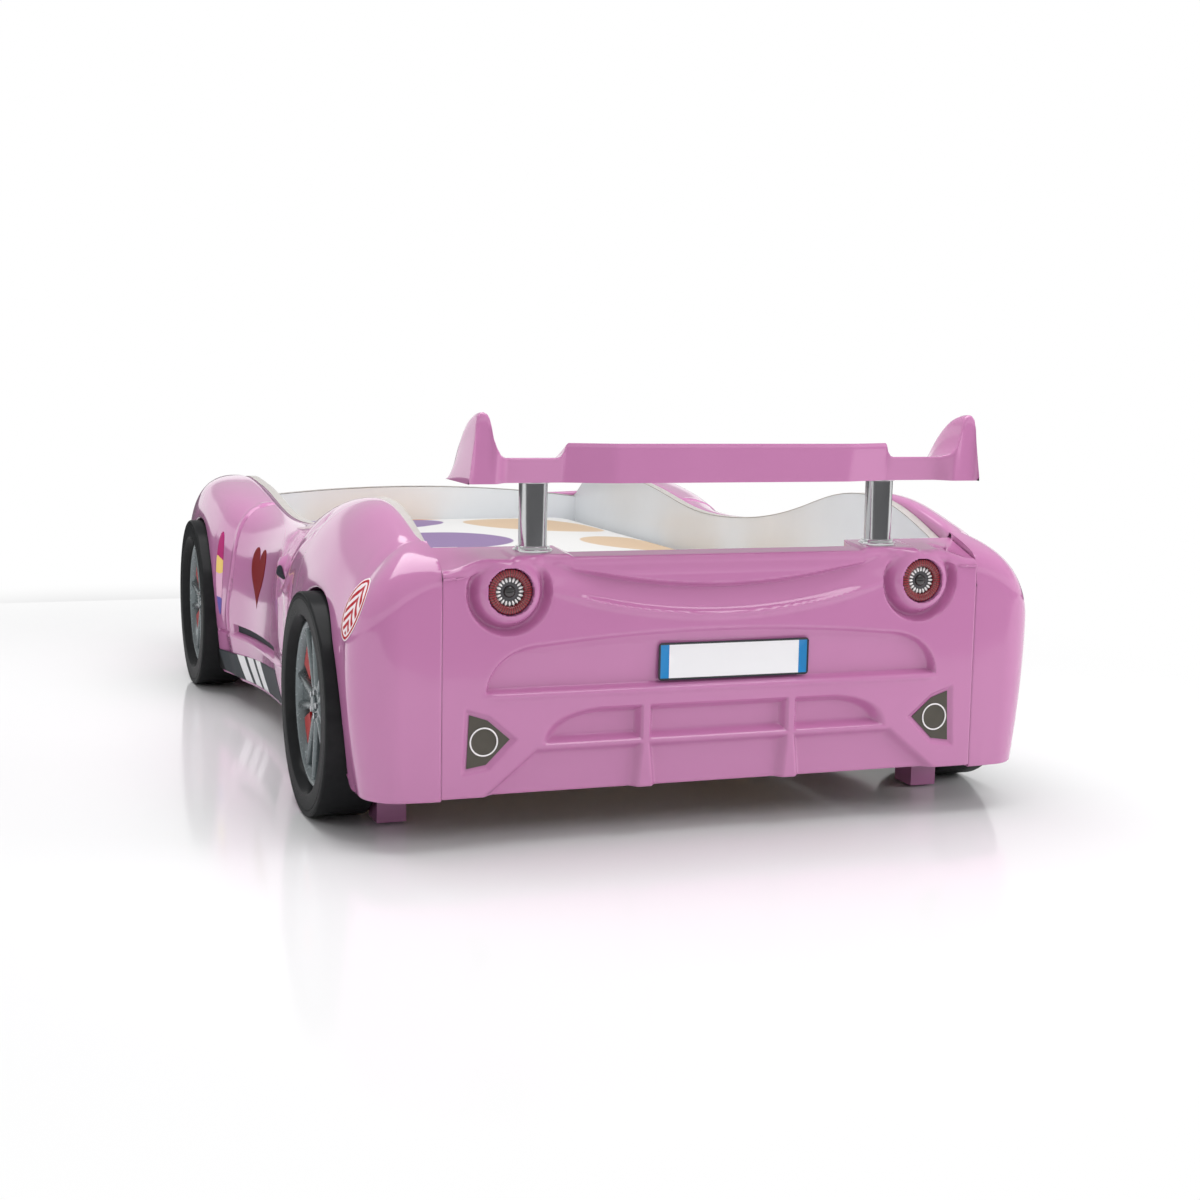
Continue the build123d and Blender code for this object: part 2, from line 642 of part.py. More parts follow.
def mattress_outline(inset, z):
    """Rounded rectangle with sides bowed inwards, drawn in by the inset."""
    half_x = MATTRESS_LENGTH / 2 - inset
    half_y = MATTRESS_WIDTH / 2 - inset
    corner = MATTRESS_CORNER
    pull = MATTRESS_DRAW_IN
    bend = corner * (1 - HALF_BEND)
    edges = []
    for sx, sy in ((1, 1), (-1, 1), (-1, -1), (1, -1)):
        edges.append(ThreePointArc((sx * half_x, sy * (half_y - corner)),
                                   (sx * (half_x - bend), sy * (half_y - bend)),
                                   (sx * (half_x - corner), sy * half_y)))
    for sign in SIDES.values():
        edges.append(ThreePointArc((half_x - corner, sign * half_y), (0, sign * (half_y - pull)),
                                   (corner - half_x, sign * half_y)))
        edges.append(ThreePointArc((sign * half_x, half_y - corner), (sign * (half_x - pull), 0),
                                   (sign * half_x, corner - half_y)))
    face = make_face(Curve() + edges)
    return Pos(WELL_MIDDLE_X, 0, z) * face


def mattress():
    base = SLAT_TOP_Z + SOFT_GAP
    side_top = MATTRESS_THICKNESS - MATTRESS_CROWN
    edge = MATTRESS_EDGE
    levels = [(edge, 0), (edge * 0.2, edge * 0.85), (0, side_top * 0.5),
              (edge * 0.2, side_top - edge * 0.85), (edge, side_top - edge * 0.15)]
    for inward, rise in CROWN_STEPS:
        levels.append((inward * MATTRESS_WIDTH / 2, side_top + rise * MATTRESS_CROWN))
    return loft([mattress_outline(inset, base + z) for inset, z in levels], ruled=True)


# Wheels: tyre, spoked rim, brake disc and caliper, all fixed to the fender

def tyre(x):
    """Hollow ring with round shoulders and a flat outer sidewall, open towards the fender."""
    outer = WHEEL_RADIUS
    shoulder = TYRE_SHOULDER
    bend = shoulder * (1 - HALF_BEND)
    bevel = RIM_RADIUS + TYRE_BEVEL
    width = TYRE_WIDTH
    edges = [
        Line((RIM_RADIUS, 0), (outer - shoulder / 2, 0)),
        Line((outer - shoulder / 2, 0), (outer, shoulder)),
        Line((outer, shoulder), (outer, width - shoulder)),
        ThreePointArc((outer, width - shoulder), (outer - bend, width - bend), (outer - shoulder, width)),
        Line((outer - shoulder, width), (bevel, width)),
        Line((bevel, width), (RIM_RADIUS, width - RIM_RECESS)),
        Line((RIM_RADIUS, width - RIM_RECESS), (RIM_RADIUS, 0)),
    ]
    profile = Plane(origin=(x, WELL_PLATE_Y, WHEEL_Z), x_dir=(1, 0, 0), z_dir=(0, 0, 1))
    ring = revolve(profile * make_face(Curve() + edges), Axis((x, 0, WHEEL_Z), (0, 1, 0)), 360)
    back = WELL_PLATE_Y - CUT_MARGIN
    front = WHEEL_OUTER_Y - TYRE_FACE
    hollow = cylinder_y(x, WHEEL_Z, outer - shoulder / 2 - TYRE_WALL, back, front)
    hollow -= cylinder_y(x, WHEEL_Z, RIM_RADIUS + TYRE_WALL, back - CUT_MARGIN, front + CUT_MARGIN)
    return ring - hollow


def rim(x):
    """Barrel ring with forked spokes round a hub."""
    wheel = cylinder_y(x, WHEEL_Z, RIM_RADIUS, RIM_BACK_Y, RIM_FACE_Y)
    wheel -= cylinder_y(x, WHEEL_Z, RIM_RADIUS - RIM_LIP, RIM_BACK_Y - CUT_MARGIN, RIM_FACE_Y + CUT_MARGIN)
    wheel += cylinder_y(x, WHEEL_Z, HUB_RADIUS, DISC_FACE_Y, RIM_FACE_Y - HUB_DROP)
    root = HUB_RADIUS + SPOKE_DROP
    reach = RIM_RADIUS - RIM_LIP / 2
    fork = 0.5 * (root + reach)
    arms = [((root, 0), (fork, 0), SPOKE_WIDTH), ((fork, 0), (reach, FORK_SPREAD), FORK_WIDTH),
            ((fork, 0), (reach, -FORK_SPREAD), FORK_WIDTH)]
    barrel = cylinder_y(x, WHEEL_Z, RIM_RADIUS - RIM_LIP / 4, RIM_BACK_Y, RIM_FACE_Y)
    for index in range(SPOKES):
        turn = index * 360 / SPOKES
        for start, end, width in arms:
            length = math.dist(start, end) + width * 0.6
            tilt = math.degrees(math.atan2(end[1] - start[1], end[0] - start[0]))
            middle = ((start[0] + end[0]) / 2, (start[1] + end[1]) / 2)
            bar = Pos(*middle) * Rot(0, 0, tilt) * Rectangle(length, width)
            bar_face = side_plane(RIM_BACK_Y + SPOKE_BACK) * Pos(x, WHEEL_Z) * Rot(0, 0, turn) * bar
            spoke = extrude(bar_face, amount=RIM_THICKNESS - SPOKE_BACK - SPOKE_DROP, dir=(0, 1, 0))
            wheel += spoke & barrel
    for cx, cz in bolt_places(x):
        wheel -= cylinder_y(cx, cz, WHEEL_BOLT / 2, RIM_FACE_Y - HUB_DROP - WHEEL_BOLT_LENGTH, RIM_FACE_Y)
    return wheel


def bolt_places(x):
    """Centres of the wheel bolts, between the spokes."""
    places = []
    for index in range(SPOKES):
        turn = math.radians((index + 0.5) * 360 / SPOKES)
        places.append((x + WHEEL_BOLT_CIRCLE * math.cos(turn), WHEEL_Z + WHEEL_BOLT_CIRCLE * math.sin(turn)))
    return places


def wheel_bolts(x):
    """Pan-head bolts, heads on the hub's face."""
    seat = RIM_FACE_Y - HUB_DROP
    bolts = []
    for cx, cz in bolt_places(x):
        shank = cylinder_y(cx, cz, WHEEL_BOLT / 2, seat - WHEEL_BOLT_LENGTH, seat)
        head = cylinder_y(cx, cz, WHEEL_BOLT / 2 + WHEEL_BOLT_BRIM, seat, seat + WHEEL_BOLT_HEAD)
        bolts.append(shank + head)
    return bolts


def hub_cap(x):
    seat = RIM_FACE_Y - HUB_DROP
    return cylinder_y(x, WHEEL_Z, WHEEL_BOLT_CIRCLE - WHEEL_BOLT, seat, seat + HUB_CAP_HEIGHT)


def brake_disc(x):
    """Plate that fills the tyre on a round carrier, with the smaller disc in front."""
    back = WELL_PLATE_Y + DISC_STANDOFF
    middle = back + DISC_THICKNESS / 2
    disc = cylinder_y(x, WHEEL_Z, CARRIER_RADIUS, WELL_PLATE_Y, middle)
    disc += cylinder_y(x, WHEEL_Z, RIM_RADIUS - FIT_GAP, back, middle)
    disc += cylinder_y(x, WHEEL_Z, DISC_RADIUS, middle, DISC_FACE_Y)
    return disc


def caliper(x, side_of_axle):
    """Curved block over the rim of the disc, on the side towards the bed's middle."""
    back = DISC_FACE_Y
    front = back + CALIPER_DEPTH
    ring = cylinder_y(x, WHEEL_Z, DISC_RADIUS, back, front)
    ring -= cylinder_y(x, WHEEL_Z, DISC_RADIUS - CALIPER_BAND, back - CUT_MARGIN, front + CUT_MARGIN)
    reach = side_of_axle * (DISC_RADIUS + CUT_MARGIN)
    keep = box_between(x, x + reach, back, front, WHEEL_Z - CALIPER_LENGTH / 2, WHEEL_Z + CALIPER_LENGTH / 2)
    return ring & keep


# Legs that carry the bed, inside the fenders

def leg(x):
    return box_between(x - LEG_LENGTH / 2, x + LEG_LENGTH / 2, BOARD_OUTER_Y, BOARD_OUTER_Y + LEG_WIDTH,
                       GLIDE_HEIGHT, LEG_TOP_Z)


def leg_glide(x):
    return cylinder_z(x, LEG_Y, GLIDE_DIAMETER / 2, 0, GLIDE_HEIGHT)


# Spoiler: one moulded wing on two tubes

def wing_profile(height):
    """Aerofoil in side view: upright trailing face, top falling to the leading edge."""
    rear = WING_REAR_X
    front = WING_FRONT_X
    low = POST_TOP_Z
    top = low + height
    edge_top = low + WING_EDGE_HEIGHT
    edge_back = front - WING_EDGE_HEIGHT / 4
    edges = [
        Line((rear + WING_RAKE, low), (rear, top)),
        Line((rear, top), (rear + WING_LIP, top)),
        Spline((rear + WING_LIP, top), (rear + WING_CHORD * 0.5, low + height * 0.72),
               (edge_back, edge_top), tangents=[(1, -0.05), (1, -0.7)]),
        ThreePointArc((edge_back, edge_top), (front, low + WING_EDGE_HEIGHT * 0.6), (front - WING_RAKE, low)),
        Line((front - WING_RAKE, low), (rear + WING_RAKE, low)),
    ]
    return make_face(Curve() + edges)


def fin():
    """End plate: swept leading edge, upright trailing edge, thinning to its tip."""
    rear = WING_REAR_X
    front = WING_FRONT_X
    low = POST_TOP_Z
    tip = FIN_TIP_Z
    bend = FIN_TIP_ROUND * (1 - HALF_BEND)
    tip_front = rear + FIN_TIP_LENGTH
    side_view = [
        Line((rear + WING_RAKE, low), (rear, tip - FIN_TIP_ROUND)),
        ThreePointArc((rear, tip - FIN_TIP_ROUND), (rear + bend, tip - bend), (tip_front, tip)),
        Spline((tip_front, tip), (front - FIN_ELBOW_BACK, low + FIN_ELBOW_RISE), (front, low),
               tangents=[(1, -0.1), (0.2, -1)]),
        Line((front, low), (rear + WING_RAKE, low)),
    ]
    outer = WING_HALF_SPAN
    foot = outer - FIN_THICKNESS
    root = foot - FIN_ROOT_FLARE
    blade = extrude(side_plane(root) * make_face(Curve() + side_view), amount=outer - root, dir=(0, 1, 0))
    above = tip + CUT_MARGIN
    tip_outer = outer - (FIN_THICKNESS - FIN_TIP_THICKNESS) * 0.9
    tip_inner = tip_outer - FIN_TIP_THICKNESS
    root_top = low + WING_END_HEIGHT * 0.75
    front_view = [
        Line((root, low), (outer, low)),
        Spline((outer, low), (outer - FIN_TIP_LENGTH / 6, low + FIN_HEIGHT * 0.5), (tip_outer, above)),
        Line((tip_outer, above), (tip_inner, above)),
        Spline((tip_inner, above), (foot, low + FIN_HEIGHT * 0.62), (root, root_top)),
        Line((root, root_top), (root, low)),
    ]
    trim = extrude(section_plane(rear - CUT_MARGIN) * make_face(Curve() + front_view),
                   amount=WING_CHORD + 2 * CUT_MARGIN, dir=(1, 0, 0))
    return blade & trim


def spoiler_wing():
    span = WING_HALF_SPAN - FIN_THICKNESS / 2
    ends = extrude(side_plane(-span) * wing_profile(WING_END_HEIGHT), amount=2 * span, dir=(0, 1, 0))
    half = WING_CENTRE_HALF
    centre = extrude(side_plane(-half) * wing_profile(WING_CENTRE_HEIGHT), amount=2 * half, dir=(0, 1, 0))
    fins = pair(fin())
    return ends + centre + fins["left"] + fins["right"]


def spoiler_post(sign):
    """Tube between the foot flange and the collar under the wing."""
    y = sign * POST_Y
    base = REAR_TOP_Z + FLANGE_HEIGHT
    top = POST_TOP_Z - COLLAR_HEIGHT
    tube = cylinder_z(POST_X, y, POST_DIAMETER / 2, base, top)
    return tube - cylinder_z(POST_X, y, POST_DIAMETER / 2 - POST_WALL, base - CUT_MARGIN, top + CUT_MARGIN)


def post_flange(sign):
    """Two-step foot under the tube, drilled for the long bolt."""
    y = sign * POST_Y
    step = REAR_TOP_Z + FLANGE_HEIGHT / 2
    top = REAR_TOP_Z + FLANGE_HEIGHT
    foot = cylinder_z(POST_X, y, FLANGE_DIAMETER / 2, REAR_TOP_Z, step)
    foot += cylinder_z(POST_X, y, (FLANGE_DIAMETER + POST_DIAMETER) / 4, step, top)
    return foot - cylinder_z(POST_X, y, SPOILER_BOLT / 2, REAR_TOP_Z - CUT_MARGIN, top + CUT_MARGIN)


def post_collar(sign):
    """Flat ring between the tube and the wing."""
    y = sign * POST_Y
    low = POST_TOP_Z - COLLAR_HEIGHT
    ring = cylinder_z(POST_X, y, COLLAR_DIAMETER / 2, low, POST_TOP_Z)
    return ring - cylinder_z(POST_X, y, SPOILER_BOLT / 2, low - CUT_MARGIN, POST_TOP_Z + CUT_MARGIN)


def spoiler_bolt(sign):
    """Long bolt from under the shelf, through flange, tube and collar."""
    y = sign * POST_Y
    under = REAR_TOP_Z - WALL
    head = cylinder_z(POST_X, y, SPOILER_BOLT, under - SPOILER_BOLT_HEAD, under)
    return head + cylinder_z(POST_X, y, SPOILER_BOLT / 2, under, POST_TOP_Z)


# Lamps, inserts and plates

def tail_lens(sign):
    """Ring lens that stands a little proud of its collar."""
    y = sign * TAIL_Y
    back = REAR_FACE_X + TAIL_LENS_DEPTH
    front = REAR_FACE_X - TAIL_LENS_PROUD
    ring = cylinder_x(y, TAIL_Z, TAIL_LENS_RADIUS, front, back)
    return ring - cylinder_x(y, TAIL_Z, TAIL_CORE_RADIUS, front - CUT_MARGIN, back + CUT_MARGIN)


def tail_core(sign):
    """Bright dish that sits in the middle of the lens ring, with a small dome."""
    y = sign * TAIL_Y
    back = REAR_FACE_X + TAIL_LENS_DEPTH
    face = REAR_FACE_X + TAIL_DISH_DEPTH
    dish = cylinder_x(y, TAIL_Z, TAIL_CORE_RADIUS, face, back)
    dome = Pos(face + TAIL_DOME_RADIUS * 0.45, y, TAIL_Z) * Sphere(TAIL_DOME_RADIUS)
    keep = cylinder_x(y, TAIL_Z, TAIL_CORE_RADIUS, face - TAIL_DOME_RADIUS, face + CUT_MARGIN)
    return dish + (dome & keep)


def exhaust_insert(sign):
    face = section_plane(REAR_FACE_X + EXHAUST_SEAT) * make_face(Curve() + exhaust_outline(sign))
    return extrude(face, amount=EXHAUST_THICKNESS, dir=(1, 0, 0))


def exhaust_ring(sign):
    y = sign * (EXHAUST_Y - EXHAUST_RING_INSET)
    seat = REAR_FACE_X + EXHAUST_SEAT
    front = seat - EXHAUST_RING_WIRE
    ring = cylinder_x(y, EXHAUST_Z, EXHAUST_RING_RADIUS, front, seat)
    inner = EXHAUST_RING_RADIUS - EXHAUST_RING_WIRE
    return ring - cylinder_x(y, EXHAUST_Z, inner, front - CUT_MARGIN, seat + CUT_MARGIN)


def number_plate():
    seat = section_plane(REAR_FACE_X + PANEL_POCKET)
    face = seat * Pos(PLATE_SHIFT_Y, PLATE_Z) * RectangleRounded(PLATE_WIDTH, PLATE_HEIGHT, PLATE_CORNER)
    return extrude(face, amount=PLATE_THICKNESS, dir=(-1, 0, 0))


def headlamp_bowl(sign):
    """Reflector cup at the back of the socket."""
    y = sign * HEADLAMP_Y
    front = HEADLAMP_BACK_X + HEADLAMP_BOWL_DEPTH
    cup = cylinder_x(y, HEADLAMP_Z, HEADLAMP_RADIUS - FIT_GAP, HEADLAMP_BACK_X, front)
    return cup - Pos(front + HEADLAMP_DISH_RADIUS * 0.4, y, HEADLAMP_Z) * Sphere(HEADLAMP_DISH_RADIUS)


def headlamp_lens(sign):
    seat = HEADLAMP_BACK_X + HEADLAMP_BOWL_DEPTH
    return cylinder_x(sign * HEADLAMP_Y, HEADLAMP_Z, HEADLAMP_RADIUS - FIT_GAP, seat, seat + HEADLAMP_LENS)


def front_grille():
    """Dark panel of upright bars at the back of the mouth."""
    seat = GRILLE_SEAT_X
    half = GRILLE_WIDTH / 2 - GRILLE_HEIGHT * 0.25
    tall = GRILLE_HEIGHT / 2 - GRILLE_MARGIN
    low = GRILLE_Z - tall
    high = GRILLE_Z + tall
    front = seat + GRILLE_PLATE
    plate = box_between(seat, front, -half, half, low, high)
    pitch = 2 * half / GRILLE_BARS
    for index in range(GRILLE_BARS):
        y = (index - (GRILLE_BARS - 1) / 2) * pitch
        side = y + GRILLE_BAR / 2
        plate += box_between(front, front + GRILLE_BAR_DEPTH, side - GRILLE_BAR, side, low, high)
    return plate


# Fixings

def corner_brackets():
    """Steel angles in the four corners of the well, under the slats."""
    brackets = []
    high = RAIL_TOP_Z - RAIL_HEIGHT
    low = high - BRACKET_HEIGHT
    for corner_x, way in ((WELL_REAR_X, 1), (WELL_FRONT_X, -1)):
        far_x = corner_x + way * BRACKET_LEG
        thin_x = corner_x + way * BRACKET_THICKNESS
        for sign in SIDES.values():
            corner_y = sign * WELL_HALF
            far_y = corner_y - sign * BRACKET_LEG
            thin_y = corner_y - sign * BRACKET_THICKNESS
            along = box_between(corner_x, far_x, corner_y, thin_y, low, high)
            across = box_between(corner_x, thin_x, corner_y, far_y, low, high)
            brackets.append(along + across)
    return brackets


def rail_screws():
    """Pan-head screws on the inner faces of the rails."""
    screws = []
    z = RAIL_TOP_Z - RAIL_HEIGHT / 2
    face = WELL_HALF - RAIL_WIDTH
    pitch = (WELL_LENGTH - 2 * RAIL_SCREW_INSET) / (RAIL_SCREW_COUNT - 1)
    for index in range(RAIL_SCREW_COUNT):
        x = WELL_REAR_X + RAIL_SCREW_INSET + index * pitch
        head = cylinder_y(x, z, SCREW_HEAD / 2, face - SCREW_HEAD_HEIGHT, face)
        screws += pair(head).values()
    return screws


def export_group(solids, node):
    export_step(Compound(children=list(solids)), f"parts/{node}.step")


os.makedirs("parts", exist_ok=True)

for side, solid in pair(side_board()).items():
    export_step(solid, f"parts/side_board_{side}.step")
export_step(rear_board(), "parts/rear_board.step")
export_step(front_board(), "parts/front_board.step")

for side, solid in pair(side_shell()).items():
    export_step(solid, f"parts/side_shell_{side}.step")
export_step(rear_shell(), "parts/rear_shell.step")
export_step(front_shell(), "parts/front_shell.step")

for side, solid in pair(slat_rail()).items():
    export_step(solid, f"parts/slat_rail_{side}.step")
export_group(pair(base_beam()).values(), "base_beams")
export_group(slats(), "slats")
export_step(mattress(), "parts/mattress.step")

bolts = []
caps = []
glides = []
for end, axle_x in AXLES.items():
    inward = 1 if end == "rear" else -1
    leg_x = axle_x - inward * LEG_SETBACK
    corner = {
        "tyre": tyre(axle_x),
        "rim": rim(axle_x),
        "brake_disc": brake_disc(axle_x),
        "caliper": caliper(axle_x, inward),
        "leg": leg(leg_x),
    }
    for name, solid in corner.items():
        for side, placed in pair(solid).items():
            export_step(placed, f"parts/{name}_{end}_{side}.step")
    for bolt in wheel_bolts(axle_x):
        bolts += pair(bolt).values()
    caps += pair(hub_cap(axle_x)).values()
    glides += pair(leg_glide(leg_x)).values()
export_group(bolts, "wheel_bolts")
export_group(caps, "hub_caps")
export_group(glides, "leg_glides")

export_step(spoiler_wing(), "parts/spoiler_wing.step")
for side, sign in SIDES.items():
    export_step(spoiler_post(sign), f"parts/spoiler_post_{side}.step")
    export_step(tail_lens(sign), f"parts/tail_lens_{side}.step")
    export_step(tail_core(sign), f"parts/tail_core_{side}.step")
    export_step(exhaust_insert(sign), f"parts/exhaust_insert_{side}.step")
    export_step(headlamp_bowl(sign), f"parts/headlamp_bowl_{side}.step")
    export_step(headlamp_lens(sign), f"parts/headlamp_lens_{side}.step")
export_group([post_flange(sign) for sign in SIDES.values()], "post_flanges")
export_group([post_collar(sign) for sign in SIDES.values()], "post_collars")
export_group([spoiler_bolt(sign) for sign in SIDES.values()], "spoiler_bolts")
export_group([exhaust_ring(sign) for sign in SIDES.values()], "exhaust_rings")
export_step(number_plate(), "parts/number_plate.step")
export_step(front_grille(), "parts/front_grille.step")

export_group(corner_brackets(), "corner_brackets")
export_group(rail_screws(), "rail_screws")
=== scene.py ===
import bmesh
import bpy
import numpy as np
from mathutils import Matrix, Vector


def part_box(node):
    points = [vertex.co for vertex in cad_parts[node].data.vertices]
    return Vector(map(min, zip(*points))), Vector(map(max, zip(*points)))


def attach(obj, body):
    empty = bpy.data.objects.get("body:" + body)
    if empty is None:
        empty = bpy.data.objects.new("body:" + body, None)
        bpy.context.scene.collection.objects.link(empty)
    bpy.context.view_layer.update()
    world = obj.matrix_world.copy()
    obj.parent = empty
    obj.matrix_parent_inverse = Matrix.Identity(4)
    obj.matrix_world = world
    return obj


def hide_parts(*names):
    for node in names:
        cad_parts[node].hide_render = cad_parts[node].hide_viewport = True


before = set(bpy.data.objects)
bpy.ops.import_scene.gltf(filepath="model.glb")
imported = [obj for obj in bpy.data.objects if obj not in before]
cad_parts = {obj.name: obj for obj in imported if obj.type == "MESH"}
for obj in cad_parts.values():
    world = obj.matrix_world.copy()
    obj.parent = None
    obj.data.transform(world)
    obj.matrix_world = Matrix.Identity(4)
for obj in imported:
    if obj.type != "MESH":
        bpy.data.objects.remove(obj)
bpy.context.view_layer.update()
scene = bpy.context.scene


# Boards: two shaped sides and two ends of white-faced board, screwed at the corners.
# A thin greyish edging strip is glued along the top edges; the rear end is lower between its ends.

def rgb(red, green, blue):
    """Linear colour of a screen colour given as 0 to 255."""
    share = np.array([red, green, blue]) / 255
    linear = np.where(share <= 0.04045, share / 12.92, ((share + 0.055) / 1.055) ** 2.4)
    return (*linear.tolist(), 1.0)


class Shade:
    """A shader socket: arithmetic on it adds Math nodes, and node() adds any other node."""

    def __init__(self, tree, socket=None):
        self.tree = tree
        self.socket = socket

    def node(self, kind, settings=None, inputs=None, out=0):
        made = self.tree.nodes.new("ShaderNode" + kind)
        for key, value in (settings or {}).items():
            setattr(made, key, value)
        for key, value in (inputs or {}).items():
            if isinstance(value, Shade):
                self.tree.links.new(value.socket, made.inputs[key])
            else:
                made.inputs[key].default_value = value
        return Shade(self.tree, made.outputs[out])

    def maths(self, operation, first, second=0.0):
        return self.node("Math", {"operation": operation}, {0: first, 1: second})

    def operator(operation):
        return lambda self, other: self.maths(operation, self, other)

    __add__ = __radd__ = operator("ADD")
    __sub__ = operator("SUBTRACT")
    __mul__ = __rmul__ = operator("MULTIPLY")
    __gt__ = operator("GREATER_THAN")
    __lt__ = operator("LESS_THAN")

    def __rsub__(self, other):
        return self.maths("SUBTRACT", other, self)

    def mix(self, low, high):
        """Colour between two colours, by this value."""
        return self.node("Mix", {"data_type": "RGBA"}, {0: self, 6: low, 7: high}, 2)

    def ease(self, low, high):
        """0 below low, 1 above high, smooth between."""
        return self.node("MapRange", {"interpolation_type": "SMOOTHSTEP"}, {0: self, 1: low, 2: high})

    def place(self, axis):
        """The object's own X, Y or Z."""
        return self.node("SeparateXYZ", {}, {"Vector": self.node("TexCoord", out="Object")}, axis)


def material(name, plain, varying):
    """Material with plain values on the shader's sockets and node values from varying(start)."""
    made = bpy.data.materials.new(name)
    made.use_nodes = True
    shader = made.node_tree.nodes["Principled BSDF"]
    for socket, value in plain.items():
        shader.inputs[socket].default_value = value
    for socket, value in varying(Shade(made.node_tree)).items():
        made.node_tree.links.new(value.socket, shader.inputs[socket])
    return made


def grain(start, scale, detail=3.0, stretch=(1.0, 1.0, 1.0)):
    """Noise on the object's own coordinates, finer along an axis with a larger stretch."""
    spot = start.node("TexCoord", out="Object")
    placed = start.node("Mapping", {}, {"Vector": spot, "Scale": stretch})
    return start.node("TexNoise", {}, {"Vector": placed, "Scale": scale, "Detail": detail})


def bump(start, height, strength, distance):
    return start.node("Bump", {}, {"Strength": strength, "Distance": distance, "Height": height})


def clouded(name, plain, noise, low, high, rough=None, relief=None, sharp=None):
    """Material that goes from one screen colour to another by a noise (scale, detail, stretch), eased over sharp.

    rough is the least roughness and its span; relief is a bump's strength and distance. Either may be followed by
    a noise of its own, and else goes by the same noise."""
    def look(start):
        cloud = grain(start, *noise)

        def by(own):
            return grain(start, *own) if own else cloud

        share = cloud.ease(*sharp) if sharp else cloud
        values = {"Base Color": share.mix(rgb(*low), rgb(*high))}
        if rough:
            values["Roughness"] = rough[0] + rough[1] * by(rough[2:])
        if relief:
            values["Normal"] = bump(start, by(relief[2:]), *relief[:2])
        return values

    return material(name, plain, look)


def dress(finish, *names):
    """Puts a finish on CAD nodes that are shown as they are."""
    for name in names:
        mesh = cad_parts[name].data
        mesh.materials.clear()
        mesh.materials.append(finish)


def shown(name, data):
    """New object in the scene."""
    made = bpy.data.objects.new(name, data)
    scene.collection.objects.link(made)
    return made


def piece(name, patches, finish, replaced=(), body="bed", weld=2e-5, crease=0.7, wall=0.0):
    """Mesh from grids of points, each (rows, columns, 3): touching grids are welded, faces turned outwards."""
    faces = []
    start = 0
    for grid in patches:
        rows, columns = grid.shape[:2]
        index = start + np.arange(rows * columns).reshape(rows, columns)
        quads = (index[:-1, :-1], index[:-1, 1:], index[1:, 1:], index[1:, :-1])
        faces.append(np.stack(quads, -1).reshape(-1, 4))
        start += rows * columns
    corners = np.concatenate([grid.reshape(-1, 3) for grid in patches])
    mesh = bpy.data.meshes.new(name)
    mesh.from_pydata(corners.tolist(), [], np.concatenate(faces).tolist())
    work = bmesh.new()
    work.from_mesh(mesh)
    bmesh.ops.remove_doubles(work, verts=work.verts, dist=weld)
    bmesh.ops.dissolve_degenerate(work, edges=work.edges, dist=1e-7)
    bmesh.ops.recalc_face_normals(work, faces=work.faces)
    work.to_mesh(mesh)
    work.free()
    mesh.shade_smooth()
    mesh.set_sharp_from_angle(angle=crease)
    mesh.materials.append(finish)
    made = shown(name, mesh)
    if wall:
        thick = made.modifiers.new("wall", "SOLIDIFY")
        thick.thickness = wall
        thick.offset = -1.0
    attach(made, body)
    if replaced:
        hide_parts(*replaced)
    return made


laminate = clouded("laminate", {"Coat Weight": 0.2}, (9.0, 4.0), (214, 217, 220), (224, 227, 230), (0.30, 0.10),
                   (0.08, 0.0004, 420.0))
edging = clouded("edging", {"Roughness": 0.45}, (60.0,), (176, 172, 168), (196, 192, 188))
edged = ("side_board_left", "side_board_right", "front_board")
dress(laminate, "rear_board", *edged)
board_thick = 0.018
proud = 0.0011
profile = np.array([(0.0, -0.001), (0.0, 0.0006), (0.0012, proud), (board_thick - 0.0012, proud), (board_thick, 0.0006),
                    (board_thick, -0.001)])
for board in edged:
    low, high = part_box(board)
    along = 0 if high.x - low.x > high.y - low.y else 1
    across = 1 - along
    cloud = np.array([vertex.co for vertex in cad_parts[board].data.vertices])
    top = np.unique(np.round(cloud[cloud[:, 2] > low.z + 0.2][:, [along, 2]], 5), axis=0)
    strip = np.empty((len(profile), len(top), 3))
    strip[:, :, along] = top[:, 0]
    strip[:, :, across] = low[across] + profile[:, :1]
    strip[:, :, 2] = top[:, 1] + profile[:, 1:]
    piece(board + "_edging", [strip], edging, wall=0.0004)
low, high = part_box("rear_board")
bevel = 0.001
lowered = 0.021
loops = []
for y, cut in ((low.y, 0.0), (-0.42, 0.0), (-0.40, lowered), (0.40, lowered), (0.42, 0.0), (high.y, 0.0)):
    top = high.z - cut
    loops.append([(x, y, z) for x, z in (
        (low.x, low.z), (low.x, top - bevel), (low.x + bevel, top), (high.x - bevel, top), (high.x, top - bevel),
        (high.x, low.z), (low.x, low.z))])
closed = [np.tile(np.mean(loop, axis=0), (len(loop), 1)) for loop in (loops[0], loops[-1])]
end = np.array([closed[0], *loops, closed[1]])
piece("rear_end_board", [end], laminate, ["rear_board"])


# Slatted base: pine rails screwed to the side boards, two loose pine beams with thirteen beech slats.
# Zinc-plated angles and screws hold the boards together.

pine = clouded("pine", {}, (3.0, 6.0, (1.2, 26.0, 26.0)), (226, 192, 140), (194, 150, 96), (0.5, 0.15), (0.15, 0.001),
               (0.3, 0.72))
beech = clouded("beech", {}, (4.0, 5.0, (30.0, 1.6, 30.0)), (222, 186, 146), (198, 156, 114), (0.42, 0.16),
                (0.12, 0.0008), (0.3, 0.7))
zinc = clouded("zinc", {"Metallic": 1.0}, (90.0, 5.0), (172, 175, 178), (205, 207, 208), (0.25, 0.2))
dress(pine, "slat_rail_left", "slat_rail_right", "base_beams")
dress(beech, "slats")
dress(zinc, "corner_brackets", "rail_screws", "spoiler_bolts")


# Mattress: foam in a printed cotton cover, loose on the slats, with a piped seam round its upper
# and lower edges. The cover's print is plain large dots.

